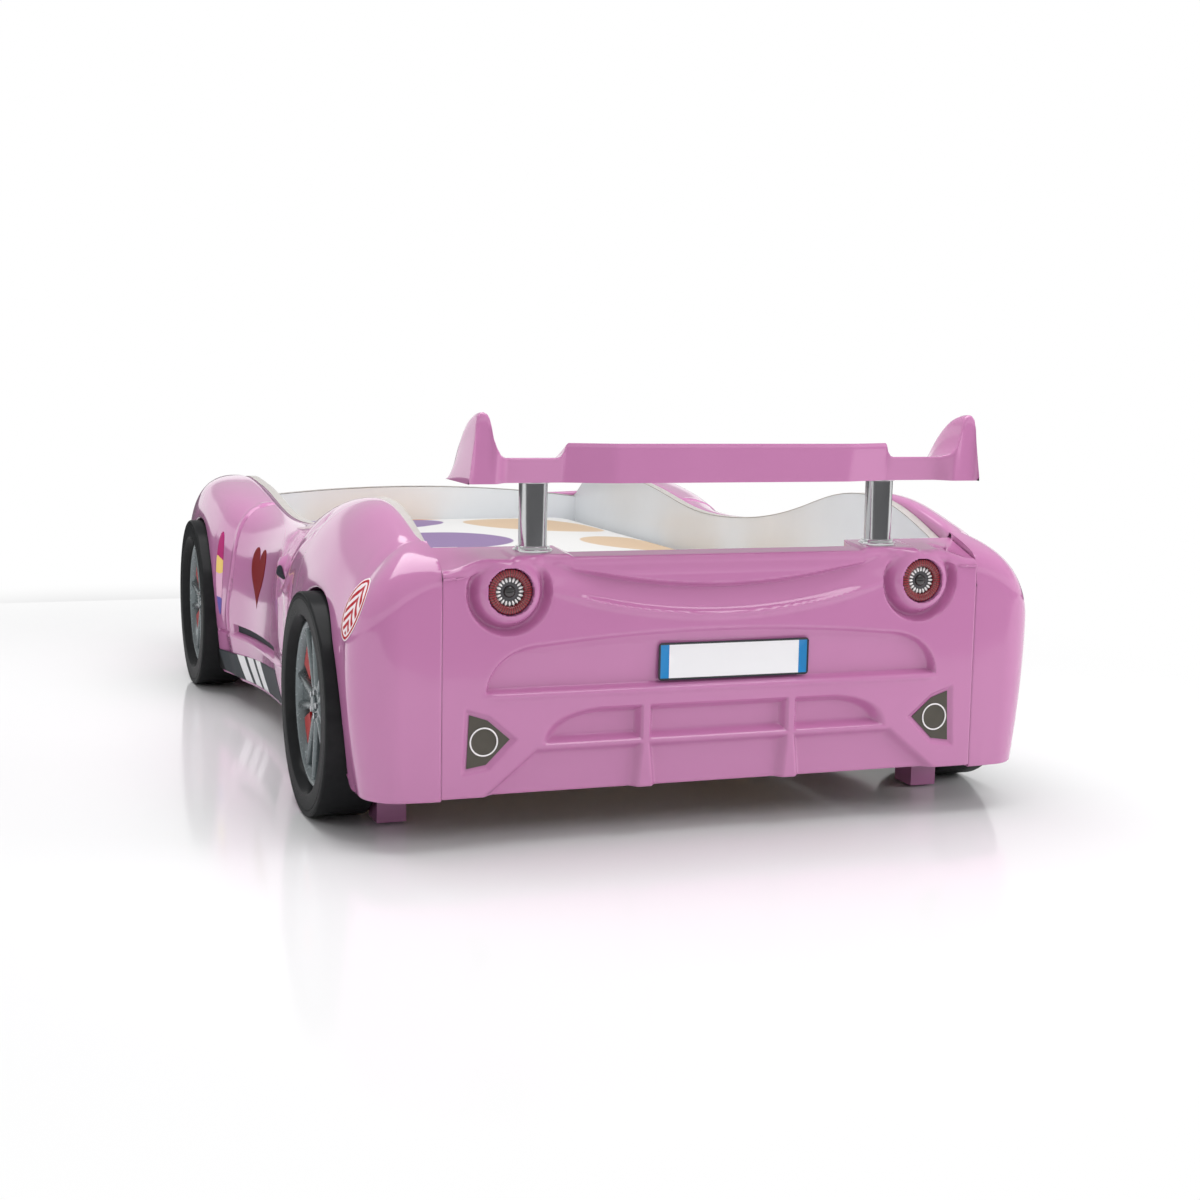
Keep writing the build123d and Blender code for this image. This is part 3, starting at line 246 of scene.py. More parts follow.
def rounded(half_a, half_b, corner, arc=9):
    """Closed outline of a rectangle with quarter-circle corners; the first point comes again at the end."""
    turn = np.concatenate([np.linspace(0, np.pi / 2, arc) + quarter * np.pi / 2 for quarter in range(4)])
    side_a = np.repeat([1, -1, -1, 1], arc) * (half_a - corner)
    side_b = np.repeat([1, 1, -1, -1], arc) * (half_b - corner)
    ring = np.stack([side_a + corner * np.cos(turn), side_b + corner * np.sin(turn)], -1)
    return np.concatenate([ring, ring[:1]])


def cover_look(start):
    cell = {"Vector": start.node("TexCoord", out="Object"), "Scale": 2.3, "Randomness": 0.5}
    reach, tint, centre = (start.node("TexVoronoi", {"voronoi_dimensions": "2D"}, cell, out)
                           for out in ("Distance", "Color", "Position"))
    pick = start.node("SeparateColor", {}, {"Color": tint})
    warm = (pick > 0.42).mix(rgb(204, 136, 48), rgb(196, 168, 136))
    dots = (pick > 0.60).mix(warm, rgb(118, 88, 140))
    weave = grain(start, 900.0, 2.0)
    printed = start.node("SeparateXYZ", {}, {"Vector": centre}, "X") > -0.60
    on_top = start.place("Z") > cover_top - 0.030
    inside = (1.0 - reach.ease(0.40, 0.412)) * printed * on_top
    return {
        "Base Color": inside.mix(rgb(212, 211, 210), dots),
        "Roughness": 0.82 + 0.1 * weave,
        "Normal": bump(start, weave, 0.25, 0.0006),
    }


def worked_out(made):
    """Mesh of an object with its modifiers applied."""
    graph = bpy.context.evaluated_depsgraph_get()
    return bpy.data.meshes.new_from_object(made.evaluated_get(graph))


def spots(mesh):
    """Its points as rows of x, y and z."""
    flat = np.empty(len(mesh.vertices) * 3)
    mesh.vertices.foreach_get("co", flat)
    return flat.reshape(-1, 3)


low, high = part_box("mattress")
cover_top = high.z
cover = material("cover", {"Sheen Weight": 0.2}, cover_look)
middle = (low + high) / 2
slack = 0.005
half_x = (high.x - low.x) / 2 - slack
half_y = (high.y - low.y) / 2 - slack
thick = high.z - low.z - 2 * slack
edge = 0.016
shoulder = 0.012
crowned = 0.010
turn = np.linspace(0, np.pi / 2, 6)
crown = np.array([0.06, 0.16, 0.28, 0.40])
lower = [(inset, 0.0) for inset in crown[::-1]] + [(edge * (1 - np.sin(a)), edge * (1 - np.cos(a))) for a in turn]
side = [(0.005, thick * 0.4), (0.005, thick * 0.55)]
upper = [(edge * (1 - np.cos(a)), thick - shoulder - edge * (1 - np.sin(a))) for a in turn]
upper += [(inset, thick + crowned - (shoulder + crowned) * (1 - inset / half_y) ** 2) for inset in crown]
rows = [(half_y, 0.0)] + lower + side + upper + [(half_y, thick + crowned)]
rings = []
for inset, rise in rows:
    ring = rounded(half_x - inset, half_y - inset, max(0.045 - inset, 0.0) * (inset < half_y))
    height = np.full(len(ring), low.z + slack + rise)
    rings.append(np.column_stack([ring[:, 0] + middle.x, ring[:, 1] + middle.y, height]))
mattress = piece("mattress_cover", [np.array(rings)], cover, ["mattress"], "mattress", 1e-4)
skin = mattress.modifiers.new("skin", "REMESH")
skin.mode = "VOXEL"
skin.voxel_size = 0.010
skin.use_smooth_shade = True
loose = mattress.data
mattress.data = worked_out(mattress)
mattress.modifiers.clear()
bpy.data.meshes.remove(loose)
rest = spots(mattress.data)
filling = mattress.modifiers.new("filling", "CLOTH")
filling.settings.use_pressure = True
filling.settings.uniform_pressure_force = 4.0
filling.settings.effector_weights.gravity = 0.0
filling.settings.quality = 4
for step in range(1, 21):
    scene.frame_set(step)
swollen = spots(worked_out(mattress))
mattress.modifiers.clear()
shift = swollen - rest
far = np.linalg.norm(shift, axis=1, keepdims=True)
rest += shift * np.minimum(1, slack / np.maximum(far, 1e-9))
mattress.data.vertices.foreach_set("co", rest.ravel())
mattress.data.update()
scene.frame_set(1)
turn = np.linspace(0, 2 * np.pi, 13)
cord = 0.0035
cords = []
for rise in (low.z + 0.018, high.z - 0.030):
    loops = []
    for a in turn:
        reach = cord * np.cos(a) - 0.001
        ring = rounded(half_x + reach, half_y + reach, 0.055)
        loops.append(np.column_stack([ring, np.full(len(ring), rise + cord * np.sin(a))]))
    cords.append(np.array(loops) + [middle.x, middle.y, 0])
piping = clouded("piping", {"Roughness": 0.8}, (700.0, 2.0), (214, 212, 210), (232, 230, 228), relief=(0.3, 0.0005))
piece("mattress_piping", cords, piping, (), "mattress")


# Legs: four blocks in the shells' pink behind the wheels, screwed to the side boards.
# They stand on black plastic glides.

pink = clouded("gloss_pink", {"Coat Weight": 0.5, "Coat Roughness": 0.03}, (5.0, 2.0), (190, 120, 168), (195, 126, 173),
               (0.10, 0.04), (0.02, 0.0003, 260.0, 2.0))
black = clouded("black_plastic", {}, (120.0, 4.0), (26, 27, 28), (38, 39, 40), (0.42, 0.16))
corners = [end + side for end in ("rear_", "front_") for side in ("left", "right")]
dress(pink, *("leg_" + corner for corner in corners))
dress(black, "leg_glides")


# Side shells: one moulded fender side on each side, gloss pink, hooked over the side board and screwed to
# the legs. Each has two arches with rolled lips and liners, a shut line, a pull and a sill.

def spline(xs, ys, at):
    """Natural cubic through (xs, ys): second slopes m from the usual three-term rows, then
    m0 w^3/6h + m1 u^3/6h + (y0/h - m0 h/6) w + (y1/h - m1 h/6) u on each span."""
    count = len(xs)
    gap = np.diff(xs)
    slope = np.diff(ys) / gap
    inner = np.arange(1, count - 1)
    system = np.eye(count)
    system[inner, inner - 1] = gap[:-1]
    system[inner, inner] = 2 * (gap[:-1] + gap[1:])
    system[inner, inner + 1] = gap[1:]
    right = np.zeros(count)
    right[inner] = 6 * np.diff(slope)
    second = np.linalg.solve(system, right)
    k = np.clip(np.searchsorted(xs, at) - 1, 0, count - 2)
    h = gap[k]
    u = at - xs[k]
    w = xs[k + 1] - at
    cubes = (second[k] * w ** 3 + second[k + 1] * u ** 3) / (6 * h)
    return cubes + (ys[k] / h - second[k] * h / 6) * w + (ys[k + 1] / h - second[k + 1] * h / 6) * u


def ease(value, low, high):
    """0 below low, 1 above high, smooth between (3 s^2 - 2 s^3)."""
    share = np.clip((value - low) / (high - low), 0, 1)
    return share * share * (3 - 2 * share)


def roll(t, fullness):
    """Outward and upward shares on the fender's roll: a cubic curve from crown to side, fuller towards 1."""
    out = 3 * (1 - t) ** 2 * t * fullness + 3 * (1 - t) * t ** 2 + t ** 3
    up = (1 - t) ** 3 + 3 * (1 - t) ** 2 * t + 3 * (1 - t) * t ** 2 * fullness
    return out, up


def halved(before, near, far):
    """Place between near and far up to which before(place) holds, found by halving."""
    for _ in range(40):
        half = (near + far) / 2
        holds = before(half)
        near = np.where(holds, half, near)
        far = np.where(holds, far, half)
    return (near + far) / 2


def roll_at(up, fullness):
    """Place on the roll with a given upward share."""
    top = np.zeros(np.broadcast(up, fullness).shape)
    return halved(lambda t: roll(t, fullness)[1] > up, top, top + 1)


low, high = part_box("tyre_rear_left")
axle_rear = (low.x + high.x) / 2
wheel_z = (low.z + high.z) / 2
wheel_radius = (high.z - low.z) / 2
wheel_face = high.y
low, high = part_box("tyre_front_left")
axle_front = (low.x + high.x) / 2
low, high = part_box("side_board_left")
board_y = high.y
front_x = high.x
hump = low.x + 0.172
rear_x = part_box("rear_shell")[0].x
arch = wheel_radius + 0.0080
lip_in = 0.012
plate_y = 0.535
seam_y = 0.474
side_most = 0.610
corner_radius = 0.075
corner_x = rear_x + corner_radius
corner_y = side_most - corner_radius
fan_x = axle_rear - arch - 0.006
corner_full = 0.90
corner_z = 0.415
seam_foot = 0.40
hem_bend = 0.003
hem_width = 0.012
foot_round = 0.024
shell_wall = 0.0025

# Stations along the shell: x, crown height, side y, side height, bottom height, fullness exponent.
stations = np.array([
    (hump - 0.285, 0.452, 0.610, 0.310, 0.086, 1.7), (hump - 0.184, 0.480, 0.610, 0.310, 0.086, 1.7),
    (hump - 0.084, 0.507, 0.610, 0.312, 0.085, 1.7), (hump + 0.016, 0.528, 0.610, 0.315, 0.084, 1.8),
    (hump + 0.146, 0.529, 0.610, 0.315, 0.082, 1.9), (hump + 0.286, 0.508, 0.603, 0.310, 0.079, 2.0),
    (hump + 0.436, 0.472, 0.584, 0.290, 0.075, 2.2), (hump + 0.596, 0.443, 0.566, 0.250, 0.070, 2.4),
    (hump + 0.776, 0.427, 0.560, 0.225, 0.065, 2.5), (axle_front - 0.386, 0.429, 0.572, 0.225, 0.060, 2.7),
    (axle_front - 0.216, 0.449, 0.604, 0.260, 0.056, 3.2), (axle_front - 0.056, 0.468, 0.610, 0.290, 0.052, 3.4),
    (axle_front + 0.094, 0.476, 0.610, 0.305, 0.050, 3.2), (axle_front + 0.229, 0.470, 0.600, 0.300, 0.056, 2.5),
    (front_x - 0.076, 0.446, 0.578, 0.300, 0.066, 2.1), (front_x, 0.406, 0.548, 0.300, 0.082, 2.0),
])
tuck = 0.022
pod_x, pod_z = -0.274, 0.360
slot_x, slot_z = 0.030, 0.172


def station(x):
    """Crown height, side y, side height, bottom height and roll fullness at x; the rear corner is a circle in plan."""
    crown, side_y, side_z, bottom, power = (spline(stations[:, 0], stations[:, i], x) for i in range(1, 6))
    past = np.clip(corner_x - x, 0, corner_radius)
    side_y = np.minimum(side_y, corner_y + np.sqrt(corner_radius ** 2 - past ** 2))
    return crown, side_y, side_z, bottom, (8 * 2 ** (-1 / power) - 4) / 3


def relief(x, z):
    """Mouldings on the side skin: arch lips, shut line, sill seam and step, slot, pod, and creases by the pod."""
    ring = np.minimum(np.hypot(x - axle_rear, z - wheel_z), np.hypot(x - axle_front, z - wheel_z)) - arch
    height = 0.0025 * (1 - ease(ring, 0.004, 0.060))
    door_z = np.array([0.150, 0.190, 0.230, 0.278, 0.324, 0.361, 0.395, 0.420, 0.436, 0.442])
    door_x = np.array([0.229, 0.227, 0.218, 0.200, 0.193, 0.191, 0.194, 0.200, 0.212, 0.233])
    shut = x - np.interp(z, door_z, door_x)
    height -= 0.0070 * np.exp(-(shut / 0.0022) ** 2) * ease(z, 0.150, 0.156)
    height += 0.0016 * np.exp(-((shut - 0.009) / 0.006) ** 2) * ease(z, 0.150, 0.170)
    seam = z - 0.158 + 0.035 * (x - 0.230)
    height -= 0.0060 * np.exp(-(seam / 0.0028) ** 2) * ease(x, 0.222, 0.232) * (1 - ease(x, 0.32, 0.34))
    slot = np.maximum(np.abs(x - slot_x) - 0.166, np.abs(z - slot_z) - 0.009)
    height -= 0.010 * (1 - ease(slot, -0.002, 0.002))
    height += 0.007 * (1 - ease(z, 0.156, 0.163)) * ease(x, -0.30, -0.16) * (1 - ease(x, 0.20, 0.26))
    pod = np.hypot((x - pod_x) / 0.028, (z - pod_z) / 0.030)
    height += 0.016 * (1 - ease(pod, 0.40, 1.0))
    crease = z - 0.383 - 0.475 * (-0.398 - x)
    before_pod = 1 - ease(x, -0.300, -0.270)
    height -= 0.005 * np.exp(-(crease / 0.011) ** 2) * ease(x, -0.640, -0.600) * before_pod
    height += 0.004 * np.exp(-((crease + 0.026) / 0.018) ** 2) * ease(x, -0.620, -0.520) * before_pod
    hollow = np.exp(-((x + 0.250) / 0.016) ** 2) - 0.8 * np.exp(-((x + 0.300) / 0.024) ** 2)
    return height - 0.008 * hollow * ease(z, 0.180, 0.215) * (1 - ease(z, 0.310, 0.340))


def lifted(grid, height):
    """Moves each point of a grid along its own normal, the cross of the two numeric slopes."""
    normal = np.cross(np.gradient(grid, axis=1), np.gradient(grid, axis=0))
    return grid + height[..., None] * normal / np.linalg.norm(normal, axis=-1, keepdims=True)


def side_grid(rows, foot, way, reach, section, low_z=None):
    """Points at roll-and-side places: foot + way * distance in plan, height from the crown line or as given."""
    side_z, bottom, full, drawn_in = section
    out, up = roll(np.clip(rows, 0, 1), full)
    rolled = lip_in + (reach - lip_in) * out
    crown = spline(stations[:, 0], stations[:, 1], foot[0] + way[0] * rolled)
    z = side_z + (crown - side_z) * up - np.clip(rows - 1, 0, 1) * (side_z - wheel_z) if low_z is None else low_z
    under = np.clip((side_z - z) / (side_z - bottom), 0, None)
    distance = np.where(z >= side_z, rolled, reach - drawn_in * under ** 2)
    return np.stack([foot[0] + way[0] * distance, foot[1] + way[1] * distance, z], -1)


def corner_reach(turn):
    """Distance in plan from the fan's middle to the rear corner: the nearer flat, or the corner's circle."""
    least = 1e-6
    to_rear = (fan_x - rear_x) / np.maximum(np.sin(turn), least)
    to_side = (side_most - seam_y) / np.maximum(np.cos(turn), least)
    flat = np.minimum(to_rear, to_side)
    from_x, from_y = fan_x - corner_x, seam_y - corner_y
    along = from_y * np.cos(turn) - from_x * np.sin(turn)
    curved = -along + np.sqrt(along ** 2 - from_x ** 2 - from_y ** 2 + corner_radius ** 2)
    in_corner = (fan_x - flat * np.sin(turn) < corner_x) & (seam_y + flat * np.cos(turn) > corner_y)
    return np.where(in_corner, curved, flat)


def side_patches():
    """The left shell: roll and upper side in one grid, three lower patches, lips and liners of the arches."""
    half_turn = np.linspace(0, np.pi, 53)
    gap_start = axle_rear + arch
    gap_end = axle_front - arch
    fine = np.linspace(gap_start, gap_end, 2001)
    weight = 1 + 4 * np.exp(-((fine - 0.205) / 0.03) ** 2) + 1.5 * np.exp(-((fine + 0.27) / 0.05) ** 2)
    run = np.cumsum(weight) - weight[0]
    between = np.interp(np.linspace(0, run[-1], 206), run, fine)
    tail = np.linspace(fan_x, axle_rear - arch, 7)
    nose = axle_front + arch + (front_x - axle_front - arch) * np.linspace(0, 1, 40) ** 1.2
    spans = [tail, axle_rear - arch * np.cos(half_turn), between, axle_front - arch * np.cos(half_turn), nose]
    x = np.concatenate([span if i == 0 else span[1:] for i, span in enumerate(spans)])
    fan = np.pi / 2 * (1 - np.linspace(0, 1, 42)[:-1])
    turn = np.concatenate([fan, np.zeros(len(x))])
    x = np.concatenate([np.full(len(fan), fan_x), x])
    crown, side_y, side_z, bottom, full = station(x)
    foot_y = np.where(x <= fan_x, seam_y, board_y + 0.0006 + (seam_y - board_y) * ease(x, fan_x + 0.034, fan_x))
    way = np.array([-np.sin(turn), np.cos(turn)])
    reach = np.where(turn > 0, corner_reach(turn), side_y - foot_y)
    full = full + (corner_full - full) * np.sin(turn) ** 2
    side_z = side_z + (corner_z - side_z) * np.sin(turn) ** 2
    section = (side_z, bottom, full, tuck * np.cos(turn) ** 2)
    foot = np.array([x, foot_y])

    over = np.minimum(np.abs(x - axle_rear), np.abs(x - axle_front))
    edge_z = wheel_z + np.sqrt(np.clip(arch ** 2 - over ** 2, 0, None))
    on_roll = roll_at(np.clip((edge_z - side_z) / (crown - side_z), 0, 1), full)
    last = np.where(edge_z > side_z, on_roll, 1 + (side_z - edge_z) / (side_z - wheel_z))
    rows = last * (1 - (1 - np.linspace(0, 1, 62)[:, None]) ** 1.2)
    upper = side_grid(rows, foot, way, reach, section)
    upper = lifted(upper, relief(upper[..., 0], upper[..., 2]))
    bend = np.linspace(0, np.pi / 2, 5)[:-1, None]
    lip = np.stack(np.broadcast_arrays(
        foot[0] + way[0] * lip_in * (1 - np.cos(bend)), foot[1] + way[1] * lip_in * (1 - np.cos(bend)),
        crown - 0.010 * (1 - np.sin(bend))), -1)
    patches = [np.concatenate([lip[:1] - [0, 0, 0.035], lip, upper])]
    seam = upper[upper[:, 0, 2] > seam_foot, 0]
    patches.append(np.stack([seam, seam * [1, 1, 0] + [0, 0, seam_foot]]))

    marks = np.cumsum([len(fan)] + [len(spans[0])] + [len(span) - 1 for span in spans[1:]])
    lower = []
    for first, stop, left_axle, right_axle, steps in (
            (0, marks[1], None, axle_rear, 24), (marks[2] - 1, marks[3], axle_rear, axle_front, 50),
            (marks[4] - 1, marks[5], axle_front, None, 20)):
        own = x[first:stop]
        place = (own - own[0]) / (own[-1] - own[0])
        part = [value[first:stop] for value in section]
        fanned = turn[first:stop] > 0

        def moved(z):
            """Columns spread so that the ends follow the arches at height z."""
            swing = np.sqrt(np.clip(arch ** 2 - (z - wheel_z) ** 2, 0, None))
            left = 0 if left_axle is None else left_axle + swing - own[0]
            right = 0 if right_axle is None else right_axle - swing - own[-1]
            return np.where(fanned, fan_x, own + left * (1 - place) + right * place)

        line = np.array([moved(part[1]), foot[1, first:stop]]) + way[:, first:stop] * reach[first:stop]
        run = np.concatenate([[0], np.cumsum(np.hypot(*np.diff(line, axis=1)))])
        left_gap = run if left_axle is not None else np.inf
        right_gap = run[-1] - run if right_axle is not None else np.inf
        nearest = np.clip(np.minimum(left_gap, right_gap), 0, foot_round)
        foot_z = part[1] + foot_round - np.sqrt(foot_round ** 2 - (foot_round - nearest) ** 2)
        z = wheel_z + np.linspace(0, 1, steps)[:, None] * (foot_z - wheel_z)
        patch = side_grid(2.0, (moved(z), foot[1, first:stop]), way[:, first:stop], reach[first:stop], part, z)
        patch = lifted(patch, relief(patch[..., 0], patch[..., 2]))
        inward = np.stack([-way[0, first:stop], -way[1, first:stop], np.zeros(len(own))], -1)
        bend = np.linspace(0, np.pi / 2, 4)[1:, None, None]
        hem = patch[-1] + hem_bend * (1 - np.cos(bend)) * inward - hem_bend * np.sin(bend) * [0, 0, 1]
        lower.append(patch)
        patches.append(np.concatenate([patch, hem, hem[-1:] + hem_width * inward]))
    for index, axle in ((0, axle_rear), (1, axle_front)):
        first = marks[1 + 2 * index] - 1
        rim = upper[-1, first:first + len(half_turn)]
        edge = np.concatenate([lower[index][::-1, -1], rim, lower[index + 1][:, 0]])
        hub = np.array([axle, 0, wheel_z])
        radial = (edge - hub) * [1, 0, 1]
        radial = radial / np.linalg.norm(radial, axis=-1, keepdims=True)
        bend = np.linspace(0, np.pi / 2, 5)[:, None, None]
        rolled = edge - hem_bend * np.sin(bend) * radial - hem_bend * (1 - np.cos(bend)) * [0, 1, 0]
        back = rolled[-1] * [1, 0, 1] + [0, plate_y, 0]
        centre = hub + radial * 0.15 + [0, plate_y, 0]
        patches.append(np.concatenate([rolled, back[None], centre[None]]))
    return patches


def shell(name, patches, node, weld=1e-5):
    """One pink moulding in place of a CAD node."""
    piece(name, patches, pink, [node], weld=weld, crease=0.6, wall=shell_wall)


left_side = side_patches()
flip = np.array([1, -1, 1])
for side, patches in (("left", left_side), ("right", [grid * flip for grid in left_side])):
    shell("shell_side_" + side, patches, "side_shell_" + side, 2e-4)


# Side trim on both shells: a dark film in the sill slot and on the pull's hole as painted shade for the shade inside
# them, a printed sill band, a red heart, an oval badge and a coloured motif on the front fender, all glued film 0.6 to
# 1.2 mm proud of the moulding.

def skin_y(x, z):
    """Outer y of the left shell at x and z, without its mouldings; behind fan_x the fan's turn is found by halving."""
    crown, side_y, side_z, bottom, full = station(x)
    fan_full = station(np.full(x.shape, fan_x))[4]

    def fan_reach(turn):
        bulge = fan_full + (corner_full - fan_full) * np.sin(turn) ** 2
        turn_z = side_z + (corner_z - side_z) * np.sin(turn) ** 2
        up = np.clip((z - turn_z) / (crown - turn_z), 0, 1)
        return lip_in + (corner_reach(turn) - lip_in) * roll(roll_at(up, bulge), bulge)[0]

    turn = halved(lambda a: fan_reach(a) * np.sin(a) < fan_x - x, 0 * x, 0 * x + np.pi / 2)
    on_fan = seam_y + fan_reach(turn) * np.cos(turn)
    out = roll(roll_at(np.clip((z - side_z) / (crown - side_z), 0, 1), full), full)[0]
    start = board_y + lip_in
    under = np.clip((side_z - z) / (side_z - bottom), 0, None)
    on_side = np.where(z > side_z, start + (side_y - start) * out, side_y - tuck * under ** 2)
    return np.where(x < fan_x, on_fan, on_side)


def film(name, x, z, finish, slot, lift=0.0006):
    """Thin film on both side skins over a grid of x and z."""
    grid = np.stack([x, skin_y(x, z) + relief(x, z) + lift, z], -1)
    for side, way in (("left", 1), ("right", -1)):
        piece(name + "_" + side, [grid * [1, way, 1]], finish, weld=1e-6, wall=0.0003)


def band_look(start):
    lean = start.place("X") - 0.45 * start.place("Z")
    stripes = (lean > 0.078) * (lean < 0.124) + (lean > 0.012) * (lean < 0.058) + (lean > -0.054) * (lean < -0.008)
    ground = lean.ease(0.27, 0.275).mix(rgb(62, 66, 70), rgb(22, 22, 24))
    return {"Base Color": stripes.mix(ground, rgb(236, 236, 238))}


def badge_look(start):
    x = start.place("X") - badge_x
    z = start.place("Z") - badge_z
    fold = z + 0.7 * start.maths("ABSOLUTE", x)
    chevrons = start.maths("PINGPONG", fold + 0.100, 0.009) > 0.0045
    ring = 517.0 * x * x + 416.0 * z * z
    face = (chevrons * (ring < 0.62)).mix(rgb(238, 226, 230), rgb(176, 30, 46))
    return {"Base Color": ((ring > 0.74) * (ring < 0.90)).mix(face, rgb(176, 30, 46))}


def motif_look(start):
    level = start.place("Z") + 0.03 * grain(start, 22.0, 2.0)
    low_part = (level > 0.245).mix(rgb(108, 96, 176), rgb(226, 178, 206))
    mid_part = (level > 0.300).mix(low_part, rgb(240, 206, 120))
    return {"Base Color": (level > 0.335).mix(mid_part, rgb(176, 40, 112))}


def disc_grid(x, z, half_x, half_z, outline):
    """Rows from the middle out to an outline of (x, z) shares."""
    size = np.linspace(0, 1, 12)[:, None]
    return x + half_x * size * outline[0], z + half_z * size * outline[1]


turn = np.linspace(0, 2 * np.pi, 73)
gloss = {"Roughness": 0.5, "Specular IOR Level": 0.08}
badge_x, badge_z = -1.014, 0.380
oval = np.stack([np.cos(turn), np.sin(turn)])
# Painted shade: a dark film in the recessed sill slot and on the pod's hole stands in for the shade inside them.
slot_shade_dark = clouded("slot_shade_dark", {"Roughness": 0.6, "Specular IOR Level": 0.1}, (30.0,), (48, 50, 56), (62, 64, 70))
slot_lift = 0.0012
grid_x, grid_z = np.meshgrid(slot_x + np.linspace(-0.163, 0.163, 80), slot_z + np.linspace(-0.0075, 0.0075, 5))
film("slot_shade_film", grid_x, grid_z, slot_shade_dark, "grille_black", slot_lift)
film("pod_hole_shade", *disc_grid(-0.290, 0.352, 0.006, 0.015, oval), slot_shade_dark, "grille_black", slot_lift)
share = np.linspace(0, 1, 90)[None, :]
drop = np.linspace(0, 1, 12)[:, None]
band_x = 0.335 - 0.500 * share + drop * (0.012 - 0.03 * share)
band_high = 0.108 + 0.032 * share
band_low = 0.0615 + 0.008 * share
band_z = band_high + (band_low - band_high) * drop
film("sill_band", band_x, band_z, material("sill_band", gloss, band_look), "plate_white")
bow = 13 * np.cos(turn) - 5 * np.cos(2 * turn) - 2 * np.cos(3 * turn) - np.cos(4 * turn)
heart = np.stack([np.sin(turn) ** 3, bow / 15])
red = clouded("heart_red", gloss, (30.0,), (112, 10, 18), (122, 14, 22))
film("heart", *disc_grid(0.034, 0.312, 0.056, 0.066, heart), red, "lamp_red")
film("badge", *disc_grid(badge_x, badge_z, 0.044, 0.049, oval), material("badge", gloss, badge_look), "plate_white")
leaf = np.stack([np.cos(turn) * (0.8 + 0.2 * np.sin(turn)), np.sin(turn)])
motif = material("fender_motif", gloss, motif_look)
film("fender_motif", *disc_grid(0.276, 0.285, 0.026, 0.092, leaf), motif, "plate_white")


# Rear panel: one gloss pink moulding with a ledge, two shelves for the spoiler posts and sunk bays,
# clipped between the side shells and screwed to the rear board.

def dip(distance, soft):
    """1 inside an outline, 0 outside, easing over the soft width; distance is negative inside."""
    return ease(-distance, -soft / 2, soft / 2)


def convex(y, z, corners):
    """Distance to a convex outline, negative inside: the largest of the distances to its edges."""
    corners = np.array(corners)
    ahead = np.roll(corners, -1, axis=0) - corners
    normal = np.stack([ahead[:, 1], -ahead[:, 0]], -1) / np.linalg.norm(ahead, axis=1, keepdims=True)
    outward = np.sign(np.sum(normal * (corners - corners.mean(0)), axis=1, keepdims=True)) * normal
    return np.max([(y - p[0]) * n[0] + (z - p[1]) * n[1] for p, n in zip(corners, outward)], axis=0)


lamp_y, lamp_z = 0.365, 0.413
shelf_y, shelf_half = 0.310, 0.050


def sunk(y, z):
    """Depth of the rear face: plate recess, six bays, exhaust seats, lamp moats with collars, and the scoop."""
    a = np.abs(y)
    recess_y, recess_z = 0.305, 0.254
    top = 0.326 + 0.016 * np.clip(1 - (a / recess_y) ** 2, 0, 1)
    fall = np.clip((top - z) / (top - recess_z), 0, 1)
    round_end = np.hypot(np.clip(a - recess_y, 0, None) / 0.093, (z - recess_z) / (top - recess_z))
    edge = np.maximum((round_end - 1) * 0.072, recess_z - z)
    depth = (0.005 + 0.006 * ease(fall, 0, 0.22) + 0.006 * fall) * dip(edge, 0.007)
    depth = depth - 0.0035 * np.exp(-((z - 0.246) / 0.005) ** 2) * ease(0.410 - a, 0, 0.03)
    bar_z, bay_z, bay_high, rib_y = 0.157, 0.169, 0.050, 0.130
    rib = 0.008 + 0.10 * np.clip(bar_z - z, 0, None)
    round_end = np.hypot(np.clip(a - 0.205, 0, None) / 0.095, (z - bay_z) / bay_high)
    slant = ((a - 0.402) * 0.071 + (z - 0.086) * 0.086) / 0.1115
    bays = (
        np.maximum(a - 0.121, np.abs(z - 0.194) - 0.025),
        np.maximum(np.maximum((round_end - 1) * bay_high, bay_z - z), 0.139 - a),
        np.maximum(a - rib_y + rib, z - bar_z),
        np.maximum(np.maximum(slant, rib_y + rib - a), z - bar_z),
    )
    for bay, deep in zip(bays, (0.018, 0.018, 0.014, 0.014)):
        depth = depth + deep * dip(bay + 0.002, 0.014)
    seat = convex(a, z, ((0.432, 0.133), (0.428, 0.219), (0.398, 0.209), (0.361, 0.177), (0.400, 0.138)))
    depth = depth + 0.0055 * dip(seat - 0.006, 0.008)
    ring = np.hypot(a - lamp_y, z - lamp_z)
    clear = 1 - dip(ring - 0.066, 0.014)
    fade = ease(0.466 - z, 0.0, 0.05)
    depth = depth + 0.020 * dip(ring - 0.067, 0.010) * (1 - dip(ring - 0.054, 0.012)) * fade
    depth = depth - 0.008 * dip(ring - 0.047, 0.014) + 0.026 * dip(ring - 0.0365, 0.0015)
    roof = 0.414 + 0.030 * (a / 0.25) ** 2
    ridge = 0.369 + 0.044 * (a / 0.295) ** 2
    wide = ease(0.330 - a, 0.0, 0.13) * clear
    slope = np.clip((roof - z) / np.maximum(roof - ridge, 0.004), 0, 1)
    depth = depth + 0.020 * wide * dip(z - roof, 0.012) * (1 - slope) ** 0.8
    depth = depth + 0.013 * clear * ease(z, 0.430, 0.475) ** 1.3 * ease(0.45 - a, 0.0, 0.06)
    return depth - 0.004 * wide * np.exp(-((z - ridge) / 0.006) ** 2)


